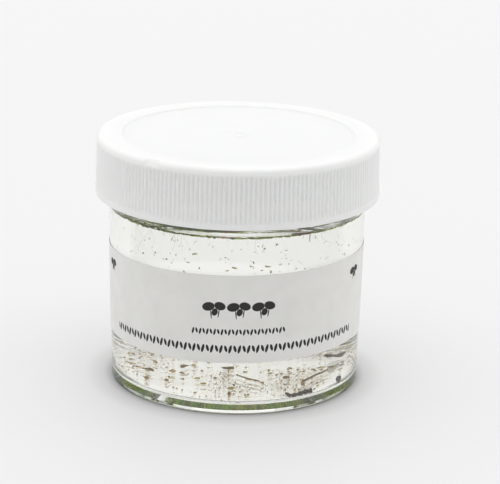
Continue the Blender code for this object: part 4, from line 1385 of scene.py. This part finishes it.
def set_flecks(name, inside, beyond, lengths, widths, turns_deg, tones, depths, rng):
    """Flat grains on bent sight lines, each lying parallel to the wall and turned in its plane."""
    places = inside + beyond * depths[:, None]
    places[:, :2] *= (1.0 - 0.06 / np.hypot(*places[:, :2].T))[:, None]
    level = sideways(np.arctan2(inside[:, 1], inside[:, 0]))
    upright = np.array((0.0, 0.0, 1.0))
    turns = np.radians(turns_deg)[:, None]
    along = level * np.cos(turns) + upright * np.sin(turns)
    across = -level * np.sin(turns) + upright * np.cos(turns)
    frames = np.stack((places, along, across, np.cross(along, across)), 1)
    made = grains(frames, lengths, widths, np.minimum(0.1, 0.5 * widths), rng, spokes=9)
    toned_piece(name, made, tones, floc_finish, "dead_leaf")


inside, beyond = into_water(fleck["across_px"], fleck["down_px"])
set_flecks("water_flecks", inside, beyond, fleck["length"], fleck["width"], fleck["turn_deg"], fleck["tone"],
           fleck["depth"], np.random.default_rng(91))

# %% Fine flecks strewn on the wall
FINE_FLECKS = 420
rng = np.random.default_rng(97)
wall_turn = rng.uniform(-np.pi, np.pi, FINE_FLECKS)
upper = rng.uniform(0.0, 1.0, FINE_FLECKS) < 0.75
wall_height = np.where(upper, rng.uniform(27.0, 34.6, FINE_FLECKS), rng.uniform(3.0, 27.0, FINE_FLECKS))
on_wall = np.column_stack((polar(inner(wall_height), wall_turn), wall_height))
sizes = 0.1 + rng.gamma(1.4, 0.13, FINE_FLECKS)
set_flecks("fine_flecks", on_wall, -on_wall * (1.0, 1.0, 0.0) / inner(wall_height)[:, None], sizes,
           sizes * rng.uniform(0.25, 0.7, FINE_FLECKS), rng.uniform(-90.0, 90.0, FINE_FLECKS),
           np.clip(rng.normal(0.75, 0.16, FINE_FLECKS), 0.1, 1.0), rng.gamma(1.2, 0.8, FINE_FLECKS), rng)

# %% Crumbs on the floor, placed by sight
CRUMB_FIELDS = ("across_px", "down_px", "length", "width", "tall", "turn_deg", "tone")
CRUMBS = np.array((
    (130, 363, 2.2, 0.5, 0.25, -20, 0.35), (138, 367, 2, 0.5, 0.25, -15, 0.32),
    (147.9, 370.9, 1.2, 1, 0.7, 0, 0.22), (155.7, 363, 0.7, 1.6, 0.5, 10, 0.45),
    (172.9, 372.3, 1.2, 1.6, 0.6, 20, 0.42), (182, 373.7, 1.1, 0.5, 0.4, -30, 0.06),
    (182.9, 379.4, 0.4, 0.4, 0.35, 0, 0.3), (193.6, 365.9, 1, 1, 0.4, 0, 0.45),
    (202, 371.6, 0.7, 0.6, 0.4, 0, 0.38), (197.9, 379.4, 1.4, 0.6, 0.5, 15, 0.48),
    (225.5, 369, 1.3, 0.6, 0.5, 30, 0.12), (230.5, 369.6, 1.2, 0.6, 0.6, -25, 0.14),
    (228.6, 373, 0.25, 0.5, 0.9, 0, 0.18), (208.6, 363, 0.7, 1.2, 0.3, 0, 0.45),
    (249.5, 380, 1.5, 0.35, 0.3, -8, 0.22), (256, 381.4, 1.4, 0.35, 0.3, -14, 0.2),
    (262.2, 383.4, 0.7, 0.5, 0.4, 20, 0.08), (230.7, 389.4, 1.5, 1.2, 0.5, 0, 0.3),
    (203.6, 384.4, 1.2, 0.9, 0.4, 10, 0.34), (137, 375, 0.45, 0.4, 0.4, 0, 0.18),
    (146.4, 379.4, 1.5, 1.5, 0.7, 0, 0.34), (173.5, 388, 0.7, 0.4, 0.3, 25, 0.15),
    (176.8, 389, 0.45, 0.35, 0.3, 0, 0.12), (182, 390.8, 0.6, 0.4, 0.3, -30, 0.2),
    (195, 393.4, 0.75, 0.45, 0.35, 0, 0.1), (206.4, 396.7, 0.35, 0.3, 0.3, 0, 0.28),
    (199.6, 397.4, 0.35, 0.3, 0.3, 0, 0.3), (285, 390.6, 0.55, 0.5, 0.45, 0, 0.28),
    (302.9, 385.6, 1, 0.9, 0.6, 0, 0.26), (312, 383, 0.7, 0.7, 0.3, 0, 0.45),
    (317.5, 386, 0.8, 0.6, 0.3, 0, 0.5), (321, 368, 1.8, 0.8, 0.3, 10, 0.4),
    (331, 367.4, 1.5, 0.8, 0.3, 5, 0.36), (289, 369, 0.9, 1.8, 0.3, 0, 0.62),
    (270, 374, 0.8, 1.6, 0.3, 0, 0.6), (245, 372.5, 1, 1.6, 0.3, 0, 0.62)), float)
crumb = dict(zip(CRUMB_FIELDS, CRUMBS.T))
# The crumbs' tones are lifted paler, which paints light onto their shaded sides.
CRUMB_PAINTED_LIFT = 0.22
inside, beyond = into_water(crumb["across_px"], crumb["down_px"])
places = inside + beyond * ((FLOOR_TOP - inside[:, 2]) / beyond[:, 2])[:, None]
places[:, :2] *= np.minimum(1.0, (FLOOR_REACH - 0.6) / np.hypot(*places[:, :2].T))[:, None]
places[:, 2] = FLOOR_TOP + 0.5 * crumb["tall"]
made = grains(flat_frames(places, np.radians(crumb["turn_deg"])), crumb["length"], crumb["width"],
              crumb["tall"], np.random.default_rng(101), spokes=11)
toned_piece("floor_crumbs", made, crumb["tone"] + CRUMB_PAINTED_LIFT, speck_finish, "dead_leaf")
print(f"crumbs reach {np.hypot(*places[:, :2].T).max():.1f} of {FLOOR_REACH:.1f} mm")

# %% [markdown]
# ## Light and stage
# A plain pale floor under soft light. The sky is white, but darker on the camera's side, because in
# the photograph the label and the lid's side are a soft grey while everything that faces up is nearly
# white. It is brightest straight above, which gives the lid's top its white. A round light pad in the
# table under the jar lights the plants and the litter from below. Round the jar's foot the table's
# glow is switched off and comes back slowly outwards, which paints a contact shadow there.

# %% Stage
STAGE_HALF = 3.0
# Glow levels by distance from the axis: full under the jar, off from 22 to 24 mm and back to about a third by
# 30 mm. The dark ring is a painted contact shadow round the foot.
TABLE_GLOW_AND_FOOT_SHADOW = ((0.0, 0.97), (19.0, 0.97), (22.0, 0.0), (24.0, 0.0), (26.0, 0.22), (30.0, 0.32))
GLOW_REACH = 100.0
stage_finish, tree, place = new_finish(
    "pale_light_table", Base_Color=linear("#BBBBBB"), Roughness=0.6, Emission_Color=linear("#FFFFFF"))
from_middle = add(tree, "VectorMath", {0: place}, operation="LENGTH").outputs["Value"]
share = add(tree, "Math", {0: from_middle, 1: 1.0 / (GLOW_REACH * MM)}, operation="MULTIPLY")
glow = add(tree, "FloatCurve", {"Value": share})
curve = glow.mapping.curves[0]
for _ in TABLE_GLOW_AND_FOOT_SHADOW[2:]:
    curve.points.new(0.5, 0.5)
for point, (radius, level) in zip(curve.points, TABLE_GLOW_AND_FOOT_SHADOW):
    point.location = (radius / GLOW_REACH, level)
    point.handle_type = "VECTOR"
glow.mapping.extend = "HORIZONTAL"
glow.mapping.update()
dress(tree, Emission_Strength=glow)
stage_mesh = bpy.data.meshes.new("stage_floor")
corners = [(STAGE_HALF * x, STAGE_HALF * y, 0.0) for x, y in ((-1, -1), (1, -1), (1, 1), (-1, 1))]
stage_mesh.from_pydata(corners, [], [(0, 1, 2, 3)])
stage_mesh.materials.append(stage_finish)
stage = bpy.data.objects.new("stage_floor", stage_mesh)
bpy.context.scene.collection.objects.link(stage)

# %% Light
SKY = 0.85
SKY_FRONT = 0.35
ZENITH = 0.8
world = bpy.data.worlds.new("soft_studio")
world.use_nodes = True
bpy.context.scene.world = world
tree = world.node_tree
parts = add(tree, "SeparateXYZ", {"Vector": add(tree, "TexCoord").outputs["Generated"]}).outputs
around = add(tree, "MapRange", {"Value": parts["Y"], "From Min": -0.9, "From Max": 0.1,
                                "To Min": SKY_FRONT, "To Max": SKY}, interpolation_type="SMOOTHSTEP")
upward = add(tree, "Math", {0: parts["Z"], 1: parts["Z"]}, operation="MULTIPLY")
sky = add(tree, "Math", {0: upward, 1: ZENITH, 2: around}, operation="MULTIPLY_ADD")
plug(tree, tree.nodes["Background"].inputs["Strength"], sky)
plug(tree, tree.nodes["Background"].inputs["Color"], linear("#FFFFFF"))

# %% Light paths through plastic and water
scene = bpy.context.scene
scene.view_settings.view_transform = "Standard"
scene.cycles.use_denoising = True
scene.cycles.max_bounces = 32
scene.cycles.diffuse_bounces = 12
scene.cycles.transmission_bounces = 32
scene.cycles.glossy_bounces = 16
scene.cycles.transparent_max_bounces = 16
